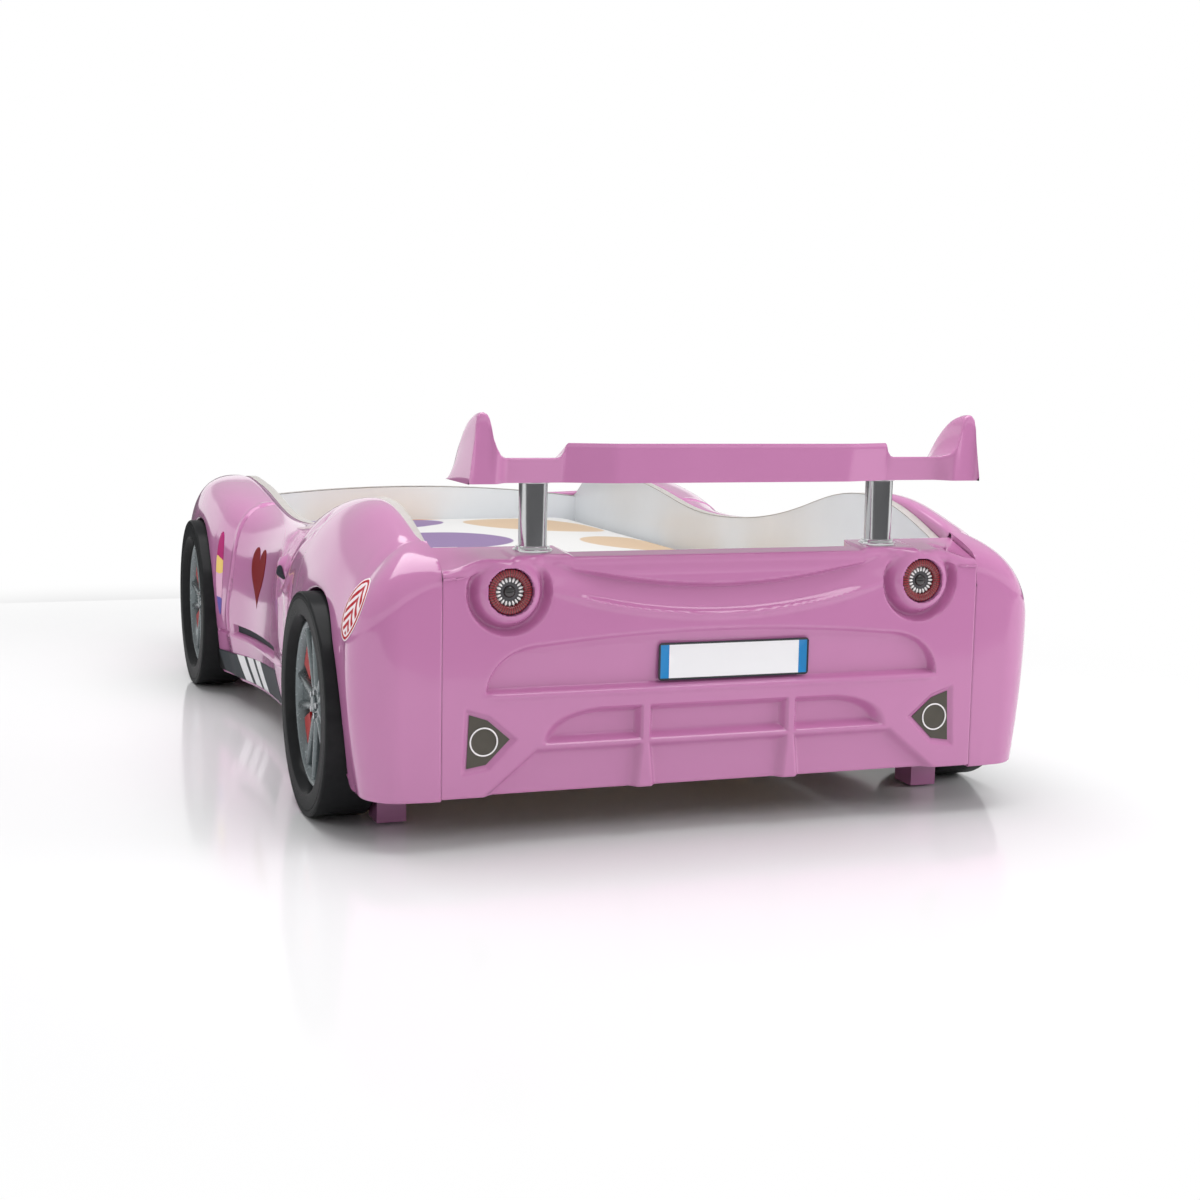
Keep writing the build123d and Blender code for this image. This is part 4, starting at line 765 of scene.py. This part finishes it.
low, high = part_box("rear_shell")
rear_board_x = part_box("rear_board")[0].x
panel_half = high.y + 0.0003
panel_top = high.z
edge = 0.014
y = np.linspace(-panel_half, panel_half, 401)
z = np.linspace(low.z + 0.003, panel_top - edge, 170)
yy, zz = np.meshgrid(y, z)
face = np.stack([low.x + sunk(yy, zz), yy, zz], -1)
bend = np.linspace(0, np.pi / 2, 8)[1:, None]
across = y[None, :] + 0 * bend
sunk_top = sunk(y, np.full(len(y), panel_top - edge))
over = np.stack([low.x + edge * (1 - np.cos(bend)) + sunk_top * np.cos(bend), across,
                 panel_top - edge * (1 - np.sin(bend)) + 0 * across], -1)
shelf = dip(np.abs(np.abs(y) - shelf_y) - shelf_half, 0.010)
outer = dip(shelf_y - shelf_half - np.abs(y), 0.010)
ledge_deep = 0.045
ledge_rise = 0.0055
ledge_end = low.x + ledge_deep + (rear_board_x - 0.0005 - low.x - ledge_deep) * outer
depth = np.linspace(0, 1, 9)[1:, None]
start = low.x + edge
ledge = np.stack([start + depth * (ledge_end - start), y + 0 * depth, panel_top + 0 * depth * y], -1)
drop = np.array([0.0015, 0.004, 0.030])[:, None]
inset = np.array([0.0012, 0.0015, 0.0015])[:, None]
inside = np.stack([ledge_end + inset * (1 - outer), y + 0 * drop, panel_top - drop + 0 * y], -1)
bends = [(1 - np.cos(b), 0, -np.sin(b)) for b in (0.5, 1.05, 1.57)]
hem = face[0] + hem_bend * np.array(bends)[:, None]
under = hem[-1:] + [0.016, 0, 0]
lower = 0.004 * (1 - shelf) + 0.017 * ease(np.abs(y), 0.395, 0.470)
beside = 1 - dip(np.hypot(np.abs(yy) - lamp_y, zz - lamp_z) - 0.042, 0.010)
face[..., 2] -= lower * beside * ease(zz, 0.435, panel_top - edge)
over[..., 2] -= lower
ledge[..., 2] += ledge_rise * depth * outer - lower * (1 - depth)
inside[..., 2] += ledge_rise * outer
panel = np.concatenate([under, hem[::-1], face, over, ledge, inside])
shell("shell_rear", [panel], "rear_shell")


# Nose: gloss pink moulding with two lamp sockets and a mouth for the grille, hooked over the front board.
# Its section carries the lines of the two sides round the front.

def nose_grid():
    """Fan from the front board to a rounded plan, with the fender's own section at each side.
    The plan is a superellipse: x by |cos a|^(2/3), y by |sin a|^(2/3) with the sign of a."""
    angle = np.linspace(-np.pi / 2, np.pi / 2, 321)
    bow = np.abs(np.cos(angle)) ** (2 / 3)
    wide = np.sign(angle) * np.abs(np.sin(angle)) ** (2 / 3)
    foot_x = front_x + 0.001
    nose_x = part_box("front_shell")[1].x
    tip = np.array([foot_x + (nose_x - foot_x) * bow, 0.548 * wide])
    foot = np.array([np.full(len(angle), foot_x), board_y * np.sin(angle)])
    reach = np.linalg.norm(tip - foot, axis=0)
    way = (tip - foot) / reach
    share = np.sin(angle) ** 2
    crown = 0.400 + 0.006 * share ** 2
    side_z = 0.215 + 0.085 * share
    bottom = 0.104 - 0.022 * share
    full = 0.62 - 0.07 * share
    out, up = roll(np.linspace(0, 1, 70)[:, None], full)
    drop = np.linspace(0, 1, 40)[1:, None]
    z = np.concatenate([side_z + (crown - side_z) * up, side_z + (bottom - side_z) * drop])
    distance = np.concatenate([lip_in + (reach - lip_in) * out, reach - tuck * drop ** 2])
    grid = np.stack([foot[0] + way[0] * distance, foot[1] + way[1] * distance, z], -1)
    lamp = np.hypot(np.abs(grid[..., 1]) - 0.400, grid[..., 2] - 0.292) - 0.0605
    mouth = np.maximum(np.abs(grid[..., 1]) - 0.215, np.abs(grid[..., 2] - 0.168) - 0.040)
    for hole, behind in ((lamp, "headlamp_bowl_left"), (mouth, "front_grille")):
        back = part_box(behind)[0].x - 0.001
        deep = dip(hole - 0.001, 0.003)
        grid[..., 0] = np.where(grid[..., 0] > back, grid[..., 0] + (back - grid[..., 0]) * deep, grid[..., 0])
    hem = grid[-1:] - hem_width * np.stack([way[0], way[1], 0 * reach], -1)
    lip = np.stack([foot[0], foot[1], crown - 0.010], -1)[None]
    return np.concatenate([lip, grid, hem])


shell("shell_nose", [nose_grid()], "front_shell")


# Headlamps and grille: bright reflector cups behind clear domed lenses pressed into the nose,
# and a black barred panel clipped into the mouth.

def lathe(profile, centre, axis, turns=72):
    """Profile of (radius, distance along) pairs carried round an axis through the centre."""
    angle = np.linspace(0, 2 * np.pi, turns + 1)
    radius, along = np.array(profile).T[..., None]
    parts = {"xyz".index(axis): along + 0 * angle}
    first, second = [i for i in range(3) if i not in parts]
    parts[first] = radius * np.cos(angle)
    parts[second] = radius * np.sin(angle)
    return np.stack([parts[i] for i in range(3)], -1) + np.array(centre)


def bright_look(start):
    facets = start.node("TexVoronoi", {}, {"Vector": start.node("TexCoord", out="Object"), "Scale": 120.0})
    return {"Base Color": facets.mix(rgb(232, 234, 236), rgb(206, 210, 214)), "Roughness": 0.10 + 0.1 * facets}


def clear_look(start):
    return {"Roughness": 0.03 + 0.03 * grain(start, 40.0)}


bright = material("lamp_bright", {"Metallic": 0.9}, bright_look)
clear = material("lens_clear", {"Transmission Weight": 1.0, "IOR": 1.46, "Base Color": rgb(246, 248, 250)}, clear_look)
dress(black, "front_grille")
for side in ("left", "right"):
    low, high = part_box("headlamp_bowl_" + side)
    axis_at = (0, (low.y + high.y) / 2, (low.z + high.z) / 2)
    radius = (high.z - low.z) / 2
    curve = np.linspace(0, np.pi / 2, 12)
    dish = [(radius * 0.92 * np.sin(a), low.x + 0.003 + (high.x - low.x - 0.004) * (1 - np.cos(a))) for a in curve]
    cup = [(0, low.x), (radius, low.x), (radius, high.x), (radius * 0.95, high.x)] + dish[::-1]
    bulb = [(0.007 * np.sin(a), low.x + 0.004 + 0.010 * np.cos(a)) for a in np.linspace(0, np.pi, 9)]
    piece("reflector_" + side, [lathe(cup, axis_at, "x"), lathe(bulb, axis_at, "x", 20)], bright,
          ["headlamp_bowl_" + side])
    low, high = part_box("headlamp_lens_" + side)
    dome = [(radius * np.sin(a), low.x + 0.004 + 0.011 * np.cos(a)) for a in curve]
    back = [(radius * np.sin(a), low.x + 0.0005 + 0.011 * np.cos(a) * 0.8) for a in curve]
    piece("lens_" + side, [lathe(dome + [(radius, low.x)] + back[::-1], axis_at, "x")], clear,
          ["headlamp_lens_" + side])


# Wheels: hollow black tyres and grey five-spoke rims pressed together, with a dark disc and a red caliper
# behind the spokes; the whole is screwed through the hub to the fender's well plate.

def bar(start, end, start_half, end_half, start_face, end_face, back):
    """Spoke between two points of the wheel's plane: a crowned bar, its half-width and face easing along it."""
    along = np.linspace(0, 1, 12)[:, None]
    start, end = np.array(start), np.array(end)
    line = start + (end - start) * along
    ahead = (end - start) / np.linalg.norm(end - start)
    aside = np.array([-ahead[1], ahead[0]])
    half = start_half + (end_half - start_half) * along
    face = start_face + (end_face - start_face) * along
    across = np.array([-1, -1, -0.95, -0.78, -0.4, 0, 0.4, 0.78, 0.95, 1, 1])
    rise = np.array([0, 0.45, 0.68, 0.88, 0.98, 1, 0.98, 0.88, 0.68, 0.45, 0])
    flat = line[:, None, :] + (half * across)[..., None] * aside
    height = back + (face - back) * rise
    ends = np.stack([flat[..., 0], height, flat[..., 1]], -1)
    return np.concatenate([ends, ends[:, :1]], axis=1)


def arc(centre, radius, start, stop, count=7):
    """Points of (radius, along) on a round edge."""
    turn = np.radians(np.linspace(start, stop, count))
    return [(centre[0] + radius * np.cos(a), centre[1] + radius * np.sin(a)) for a in turn]


rubber = clouded("tyre_rubber", {"Specular IOR Level": 0.0, "Coat Weight": 0.2, "Coat Roughness": 0.22}, (60.0, 4.0),
                 (32, 33, 34), (40, 41, 42), (0.5, 0.1), (0.05, 0.0004, 300.0))
rim_grey = clouded("rim_grey", {"Metallic": 0.55}, (240.0, 2.0), (104, 112, 114), (128, 136, 138), (0.22, 0.08))
disc_dark = clouded("disc_dark", {"Metallic": 0.6}, (40.0,), (44, 46, 48), (60, 62, 64), (0.38, 0.14))
caliper_red = clouded("caliper_red", {"Roughness": 0.3, "Coat Weight": 0.3}, (40.0,), (188, 36, 38), (200, 46, 46))
dress(disc_dark, *("brake_disc_" + corner for corner in corners))
dress(zinc, "wheel_bolts")
caps = []
for corner in corners:
    low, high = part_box("tyre_" + corner)
    way = 1 if high.y > 0 else -1
    mirror = [1, way, 1]
    hub = np.array([(low.x + high.x) / 2, 0, wheel_z])
    face = wheel_face
    bore = 0.1424
    inner = plate_y + 0.001
    tread = [(bore, inner), (wheel_radius - 0.006, inner)]
    tread += arc((wheel_radius - 0.006, inner + 0.006), 0.006, -90, 0)
    tread += arc((wheel_radius - 0.004, face - 0.004), 0.004, 0, 90, 6)
    tread += [(0.1800, face), (0.1795, face - 0.0008), (0.1785, face - 0.0008), (0.1780, face), (0.1525, face)]
    tread += [(0.1508, face - 0.0008), (0.1432, face - 0.0150), (bore, face - 0.0175), (bore, inner)]
    flat = lathe(tread, hub, "y", 144) * mirror
    piece("tyre_ring_" + corner, [flat], rubber, ["tyre_" + corner])
    low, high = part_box("rim_" + corner)
    rim_face = max(abs(low.y), abs(high.y))
    back = rim_face - 0.026
    rim_out = 0.1420
    ring = [(rim_out, back), (rim_out, rim_face - 0.002)] + arc((rim_out - 0.002, rim_face - 0.002), 0.002, 0, 90, 4)
    ring += [(0.1375, rim_face), (0.1345, rim_face - 0.002), (0.1310, rim_face - 0.007), (0.1290, rim_face - 0.014)]
    ring += [(0.1280, back), (rim_out, back)]
    boss = [(0, back), (0.033, back), (0.033, rim_face - 0.009)] + arc((0.030, rim_face - 0.009), 0.003, 0, 90, 4)
    boss += [(0, rim_face - 0.006)]
    parts = [lathe(ring, hub, "y", 96), lathe(boss, hub, "y", 48)]
    for turn in np.radians(72 * np.arange(5)):
        spin = np.array([[np.cos(turn), np.sin(turn)], [-np.sin(turn), np.cos(turn)]])
        arms = [((0.028, 0), (0.133, 0), 0.012, 0.024, 0.011)]
        arms += [((0.028, 0.009 * s), (0.1335, 0.027 * s), 0.0070, 0.0080, 0.003) for s in (1, -1)]
        for start, end, start_half, end_half, drop in arms:
            parts.append(hub + bar(np.array(start) @ spin, np.array(end) @ spin, start_half, end_half,
                                   rim_face - drop - 0.002, rim_face - drop, back + 0.008))
    spokes = [part * mirror for part in parts]
    piece("rim_spokes_" + corner, spokes, rim_grey, ["rim_" + corner])
    angle, span = np.meshgrid(np.radians(np.linspace(-46, 46, 47)), np.linspace(0.078, 0.1265, 9))
    top = rim_face - 0.022 + 0.010 * ease(np.abs(angle), np.radians(17), np.radians(22))
    lid = hub + np.stack([span * np.cos(angle), top, span * np.sin(angle)], -1)
    ground = lid * [1, 0, 1] + [0, rim_face - 0.035, 0]
    sides = [np.stack([upper, under]) for upper, under in zip((lid[0], lid[-1], lid[:, 0], lid[:, -1]),
                                                              (ground[0], ground[-1], ground[:, 0], ground[:, -1]))]
    body = [part * mirror for part in (lid, ground, *sides)]
    piece("caliper_body_" + corner, body, caliper_red, ["caliper_" + corner])
    seat = rim_face - 0.006
    cap = [(0, seat + 0.005), (0.009, seat + 0.0046)] + arc((0.011, seat + 0.002), 0.003, 80, 0, 5)
    cap += [(0.014, seat), (0, seat)]
    caps.append(lathe(cap, hub, "y", 36) * mirror)
piece("centre_caps", caps, rim_grey, ["hub_caps"])


# Spoiler: one gloss pink wing with swept end fins, bolted down through two satin steel tubes that stand on
# two-step flanges on the rear panel's shelves, with a collar under the wing.

def wing_grid():
    """Profile along the span: trailing face, then the top from back to front, then the flat underside.
    The top falls from the height h(y) of the rear outline; over the fins it follows h (1 - s^2.4)^0.9."""
    low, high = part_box("spoiler_wing")
    step = np.linspace(0, 1, 17)
    y = np.concatenate([
        np.linspace(0, 0.195, 14), np.linspace(0.200, 0.278, 12), 0.280 + 0.010 * step, np.linspace(0.295, 0.368, 12),
        0.372 + 0.034 * step, 0.408 + 0.024 * step, 0.433 + 0.012 * step])
    outline = np.array([
        (0, 0.648), (0.278, 0.648), (0.281, 0.645), (0.284, 0.634), (0.289, 0.6265), (0.292, 0.624), (0.380, 0.624),
        (0.392, 0.629), (0.400, 0.640), (0.406, 0.656), (0.409, 0.672), (0.412, 0.684), (0.416, 0.691), (0.422, 0.694),
        (0.427, 0.693), (0.432, 0.687), (0.4345, 0.676), (0.437, 0.650), (0.445, 0.590)])
    h = np.interp(y, outline[:, 0], outline[:, 1] - low.z)[:, None]
    fin = ease(y, 0.374, 0.402)[:, None]
    tail_s, nose_s = [0.0, 0.008, 0.02, 0.04, 0.07], [0.93, 0.955, 0.975, 0.99, 1.0]
    s = np.concatenate([tail_s, np.linspace(0.1, 0.9, 17), nose_s])[None]
    nose = np.where(s > 0.92, np.sqrt(np.clip(1 - ((s - 0.92) / 0.08) ** 2, 0, 1)), 1)
    thin = 0.024
    blade = (thin + (h - thin) * (1 - s) ** 1.6) * nose
    sweep = h * np.clip(1 - s ** 2.4, 0, 1) ** 0.9
    top = (blade + (sweep - blade) * fin) * np.interp(s, [0, 0.008, 0.02, 0.04], [0.93, 0.975, 0.993, 1.0])
    set_in = 0.024 * np.clip((y - 0.205) / 0.080, 0, 1)[:, None] * (1 - fin)
    rear = low.x + set_in
    x = rear + (high.x - rear) * s
    climb = np.linspace(0, 1, 9)[None, :-1]
    tail_z = top[:, :1] * climb
    tail_x = rear + 0.008 * (1 - climb)
    under_s = np.linspace(1, 0, 12)[None, 1:]
    under_x = tail_x[:, :1] + (x[:, -1:] - tail_x[:, :1]) * under_s
    rows_x = np.concatenate([tail_x, x, under_x], axis=1)
    rows_z = np.concatenate([tail_z, top, 0 * under_x], axis=1) + low.z
    half = np.stack([rows_x, y[:, None] + 0 * rows_x, rows_z], -1)
    cap = np.stack([rows_x[-1], np.full(rows_x.shape[1], y[-1]), np.full(rows_x.shape[1], low.z)], -1)[None]
    half = np.concatenate([half, cap])
    return np.concatenate([half[:0:-1] * flip, half])


steel = clouded("satin_steel", {"Metallic": 1.0}, (30.0, 4.0, (60.0, 60.0, 1.0)), (196, 197, 198), (214, 215, 216),
                (0.09, 0.07))
piece("wing", [wing_grid()], pink, ["spoiler_wing"], weld=1e-5, crease=0.7)
flanges = []
collars = []
bolt_hole = 0.0042
tube_in, tube_out = 0.0205, 0.023
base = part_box("post_flanges")[0].z
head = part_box("post_collars")[1].z
foot = [(bolt_hole, base), (0.0320, base), (0.0320, base + 0.0040)] + arc((0.0308, base + 0.0040), 0.0012, 0, 90, 4)
foot += [(0.0285, base + 0.0055), (0.0278, base + 0.0088)] + arc((0.0266, base + 0.0088), 0.0012, 0, 90, 4)
foot += [(bolt_hole, base + 0.010), (bolt_hole, base)]
band = [(bolt_hole, head), (0.0260, head), (0.0260, head - 0.004)] + arc((0.0250, head - 0.004), 0.001, 0, -90, 4)
band += [(bolt_hole, head - 0.005), (bolt_hole, head)]
for side in ("left", "right"):
    low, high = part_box("spoiler_post_" + side)
    axis_at = ((low.x + high.x) / 2, (low.y + high.y) / 2, 0)
    tube = [(tube_in, low.z), (tube_out, low.z), (tube_out, high.z), (tube_in, high.z), (tube_in, low.z)]
    piece("post_tube_" + side, [lathe(tube, axis_at, "z", 64)], steel, ["spoiler_post_" + side])
    flanges.append(lathe(foot, axis_at, "z", 64))
    collars.append(lathe(band, axis_at, "z", 64))
piece("flange_rings", flanges, steel, ["post_flanges"])
piece("collar_rings", collars, steel, ["post_collars"])


# Tail lamps, exhaust inserts and plate: red ring lenses round bright dishes with white petals and a dark dome,
# pressed into the panel's collars; dark plates with white rings, and a bare white plate with blue ends, glued on.

def lamp_red_look(start):
    y = start.maths("ABSOLUTE", start.place("Y")) - lamp_y
    z = start.place("Z") - lamp_z
    ribs = start.maths("SINE", start.maths("ARCTAN2", z, y) * 48.0)
    return {
        "Base Color": ribs.ease(-0.6, 0.6).mix(rgb(84, 6, 18), rgb(146, 20, 38)),
        "Normal": bump(start, ribs, 0.5, 0.0010),
    }


def plate_look(start):
    y = start.maths("ABSOLUTE", start.place("Y") - sign_y)
    z = start.maths("ABSOLUTE", start.place("Z") - sign_z)
    field = (y > 0.1165).mix(rgb(238, 238, 240), rgb(20, 128, 192))
    line = (y > 0.1315) + (z > 0.0275)
    return {"Base Color": line.mix(field, rgb(40, 42, 48))}


lamp_red = material("lamp_red", {"Roughness": 0.12, "Coat Weight": 0.8}, lamp_red_look)
petal_white = clouded("petal_white", {"Roughness": 0.25}, (30.0,), (238, 236, 236), (248, 246, 246))
dome_dark = clouded("dome_dark", {"Roughness": 0.08, "Coat Weight": 1.0}, (30.0,), (20, 18, 20), (30, 26, 28))
dish_grey = clouded("dish_grey", {"Roughness": 0.35}, (30.0,), (70, 68, 72), (88, 86, 90))
insert_dark = clouded("insert_dark", {"Metallic": 0.2}, (50.0, 4.0), (74, 70, 62), (86, 82, 74), (0.40, 0.1, 200.0))
dress(insert_dark, "exhaust_insert_left", "exhaust_insert_right")
turn = np.linspace(0, 2 * np.pi, 11)
sphere_u, sphere_v = np.meshgrid(np.linspace(0, np.pi, 9), turn, indexing="ij")
hoops = []
for side, way in (("left", 1), ("right", -1)):
    low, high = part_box("tail_lens_" + side)
    axis_at = np.array([0, (low.y + high.y) / 2, (low.z + high.z) / 2])
    front = low.x - 0.004
    lens_out = 0.0360
    lens = [(lens_out, high.x), (lens_out, front + 0.004)] + arc((0.0335, front + 0.004), 0.0025, 0, -80, 5)
    lens += [(0.0300, front), (0.0262, front + 0.0008), (0.0236, front + 0.003), (0.0228, front + 0.006)]
    lens += [(0.0222, high.x), (lens_out, high.x)]
    piece("lens_ring_" + side, [lathe(lens, axis_at, "x", 96)], lamp_red, ["tail_lens_" + side])
    dish = front + 0.0085
    core = [(0, high.x), (0.0219, high.x), (0.0219, front + 0.007), (0.016, front + 0.0095), (0.010, dish), (0, dish)]
    petals = []
    for angle in np.linspace(0, 2 * np.pi, 21)[:-1]:
        along = 0.0190 + 0.0042 * np.cos(sphere_u)
        aside = 0.0019 * np.sin(sphere_u) * np.cos(sphere_v)
        height = front + 0.0072 - 0.0018 * np.sin(sphere_u) * np.sin(sphere_v)
        petals.append(axis_at + np.stack([
            height, along * np.cos(angle) - aside * np.sin(angle), along * np.sin(angle) + aside * np.cos(angle)], -1))
    piece("lamp_dish_" + side, [lathe(core, axis_at, "x", 64)], dish_grey, ["tail_core_" + side])
    piece("lamp_petals_" + side, petals, petal_white)
    dome = [(0.0100 * np.sin(a), dish - 0.0065 * np.cos(a)) for a in np.linspace(0, np.pi / 2, 9)]
    piece("lamp_dome_" + side, [lathe(dome + [(0, dish)], axis_at, "x", 40)], dome_dark)
    ring_at = (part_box("exhaust_rings")[0].x + 0.0016, way * 0.404, 0.175)
    hoop = [(0.0222 + 0.0013 * np.cos(a), 0.0010 * np.sin(a) - 0.0008) for a in turn]
    hoops.append(lathe(hoop, ring_at, "x", 72))
piece("exhaust_hoops", hoops, petal_white, ["exhaust_rings"])
low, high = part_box("number_plate")
middle = (low + high) / 2
sign_y, sign_z = -0.027, 0.290
deep = 0.0310
plate_rows = ((deep, high.x), (0.0, high.x), (0.0, low.x + 0.0004), (0.0004, low.x), (0.0020, low.x),
              (0.0028, low.x + 0.0005), (deep, low.x + 0.0005))
rings = []
for inset, x in plate_rows:
    ring = rounded((high.y - low.y) / 2 - inset, (high.z - low.z) / 2 - inset, max(0.006 - inset, 0.0))
    rings.append(np.column_stack([np.full(len(ring), x), ring[:, 0] + middle.y, ring[:, 1] + middle.z]))
plate = material("plate", {"Roughness": 0.3}, plate_look)
piece("rear_plate", [np.array(rings)], plate, ["number_plate"])


# Floor, lights and camera: pale floor under a large overhead softbox with fills at both sides and behind,
# seen from behind and to the left of the bed.

floor = bpy.data.meshes.new("floor")
floor.from_pydata([(-60, -60, 0), (60, -60, 0), (60, 60, 0), (-60, 60, 0)], [], [(0, 1, 2, 3)])
sheet = clouded("floor", {"Roughness": 0.10, "Specular IOR Level": 0.4}, (2.0,), (244, 244, 245), (247, 247, 248))
start = Shade(sheet.node_tree)
beyond = [start.maths("MAXIMUM", start.maths("ABSOLUTE", start.place(axis)) - half, 0.0)
          for axis, half in (("X", 1.15), ("Y", 0.65))]
away = start.maths("SQRT", beyond[0] * beyond[0] + beyond[1] * beyond[1])
glow = start.node("Emission", {}, {"Color": (1, 1, 1, 1), "Strength": 1.0})
shader = Shade(sheet.node_tree, sheet.node_tree.nodes["Principled BSDF"].outputs[0])
both = start.node("MixShader", {}, {0: away.ease(0.05, 1.3), 1: shader, 2: glow})
sheet.node_tree.links.new(both.socket, sheet.node_tree.nodes["Material Output"].inputs["Surface"])
floor.materials.append(sheet)
shown("floor", floor)


def softbox(name, at, towards, width, height, power, mirrored):
    """Rectangular area light turned to a point."""
    lamp = bpy.data.lights.new(name, "AREA")
    lamp.shape = "RECTANGLE"
    lamp.size = width
    lamp.size_y = height
    lamp.energy = power
    made = shown(name, lamp)
    made.visible_glossy = mirrored
    turn = (Vector(towards) - Vector(at)).to_track_quat("-Z", "Y")
    made.matrix_world = Matrix.Translation(at) @ turn.to_matrix().to_4x4()


softbox("overhead", (-0.5, 0.1, 2.9), (-0.4, 0.0, 0.0), 4.2, 2.4, 92.0, True)
softbox("left_fill", (-0.8, 3.6, 1.7), (-0.3, 0.0, 0.3), 2.6, 1.2, 16.0, False)
softbox("right_fill", (-2.4, -3.2, 1.4), (-1.0, -0.5, 0.3), 2.0, 1.2, 40.0, False)
softbox("back_fill", (-4.4, -0.4, 2.8), (-1.0, 0.0, 0.4), 2.4, 1.6, 28.0, False)

# Dark sheets on the floor far ahead of and behind the bed, seen only in gloss.
flag_mesh = bpy.data.meshes.new("flag")
ends = [(x, y, 0.002) for near, far in ((2.0, 50), (-50, -2.6))
        for x, y in ((near, -40), (far, -40), (far, 40), (near, 40))]
flag_mesh.from_pydata(ends, [], [(0, 1, 2, 3), (4, 5, 6, 7)])
flag_mesh.materials.append(clouded(
    "flag", {"Roughness": 0.9, "Specular IOR Level": 0.0}, (30.0,), (132, 132, 134), (138, 138, 140)))
flag = shown("flag", flag_mesh)
flag.visible_camera = False
flag.visible_diffuse = False
flag.visible_shadow = False
flag.visible_transmission = False

world = bpy.data.worlds.new("studio")
world.use_nodes = True
scene.world = world
sky = Shade(world.node_tree)
seen = sky.node("LightPath", out="Is Camera Ray")
mirrored = sky.node("LightPath", out="Is Glossy Ray")
rise = sky.node("SeparateXYZ", {}, {"Vector": sky.node("TexCoord", out="Generated")}, "Z")
glare = 1.0 - 0.45 * rise.ease(0.17, 0.22)
ambient = 0.42
level = ambient + (glare - ambient) * mirrored
background = world.node_tree.nodes["Background"]
background.inputs["Color"].default_value = (1, 1, 1, 1)
world.node_tree.links.new((level + (1.0 - level) * seen).socket, background.inputs["Strength"])

lens = bpy.data.cameras.new("camera")
lens.sensor_width = 36.0
lens.lens = 56.42
camera = shown("camera", lens)
eye = (-3.8837, 1.2450, 0.7932)
yaw, pitch, lean = 0.354651, 0.133128, 0.018760
ahead = Vector((np.cos(yaw) * np.cos(pitch), -np.sin(yaw) * np.cos(pitch), -np.sin(pitch)))
right = Vector((-np.sin(yaw), -np.cos(yaw), 0.0))
up = right.cross(ahead)
right_leant = right * np.cos(lean) + up * np.sin(lean)
up_leant = up * np.cos(lean) - right * np.sin(lean)
turned = Matrix((right_leant, up_leant, -ahead)).transposed().to_4x4()
camera.matrix_world = Matrix.Translation(eye) @ turned
scene.camera = camera
scene.view_settings.view_transform = "Standard"
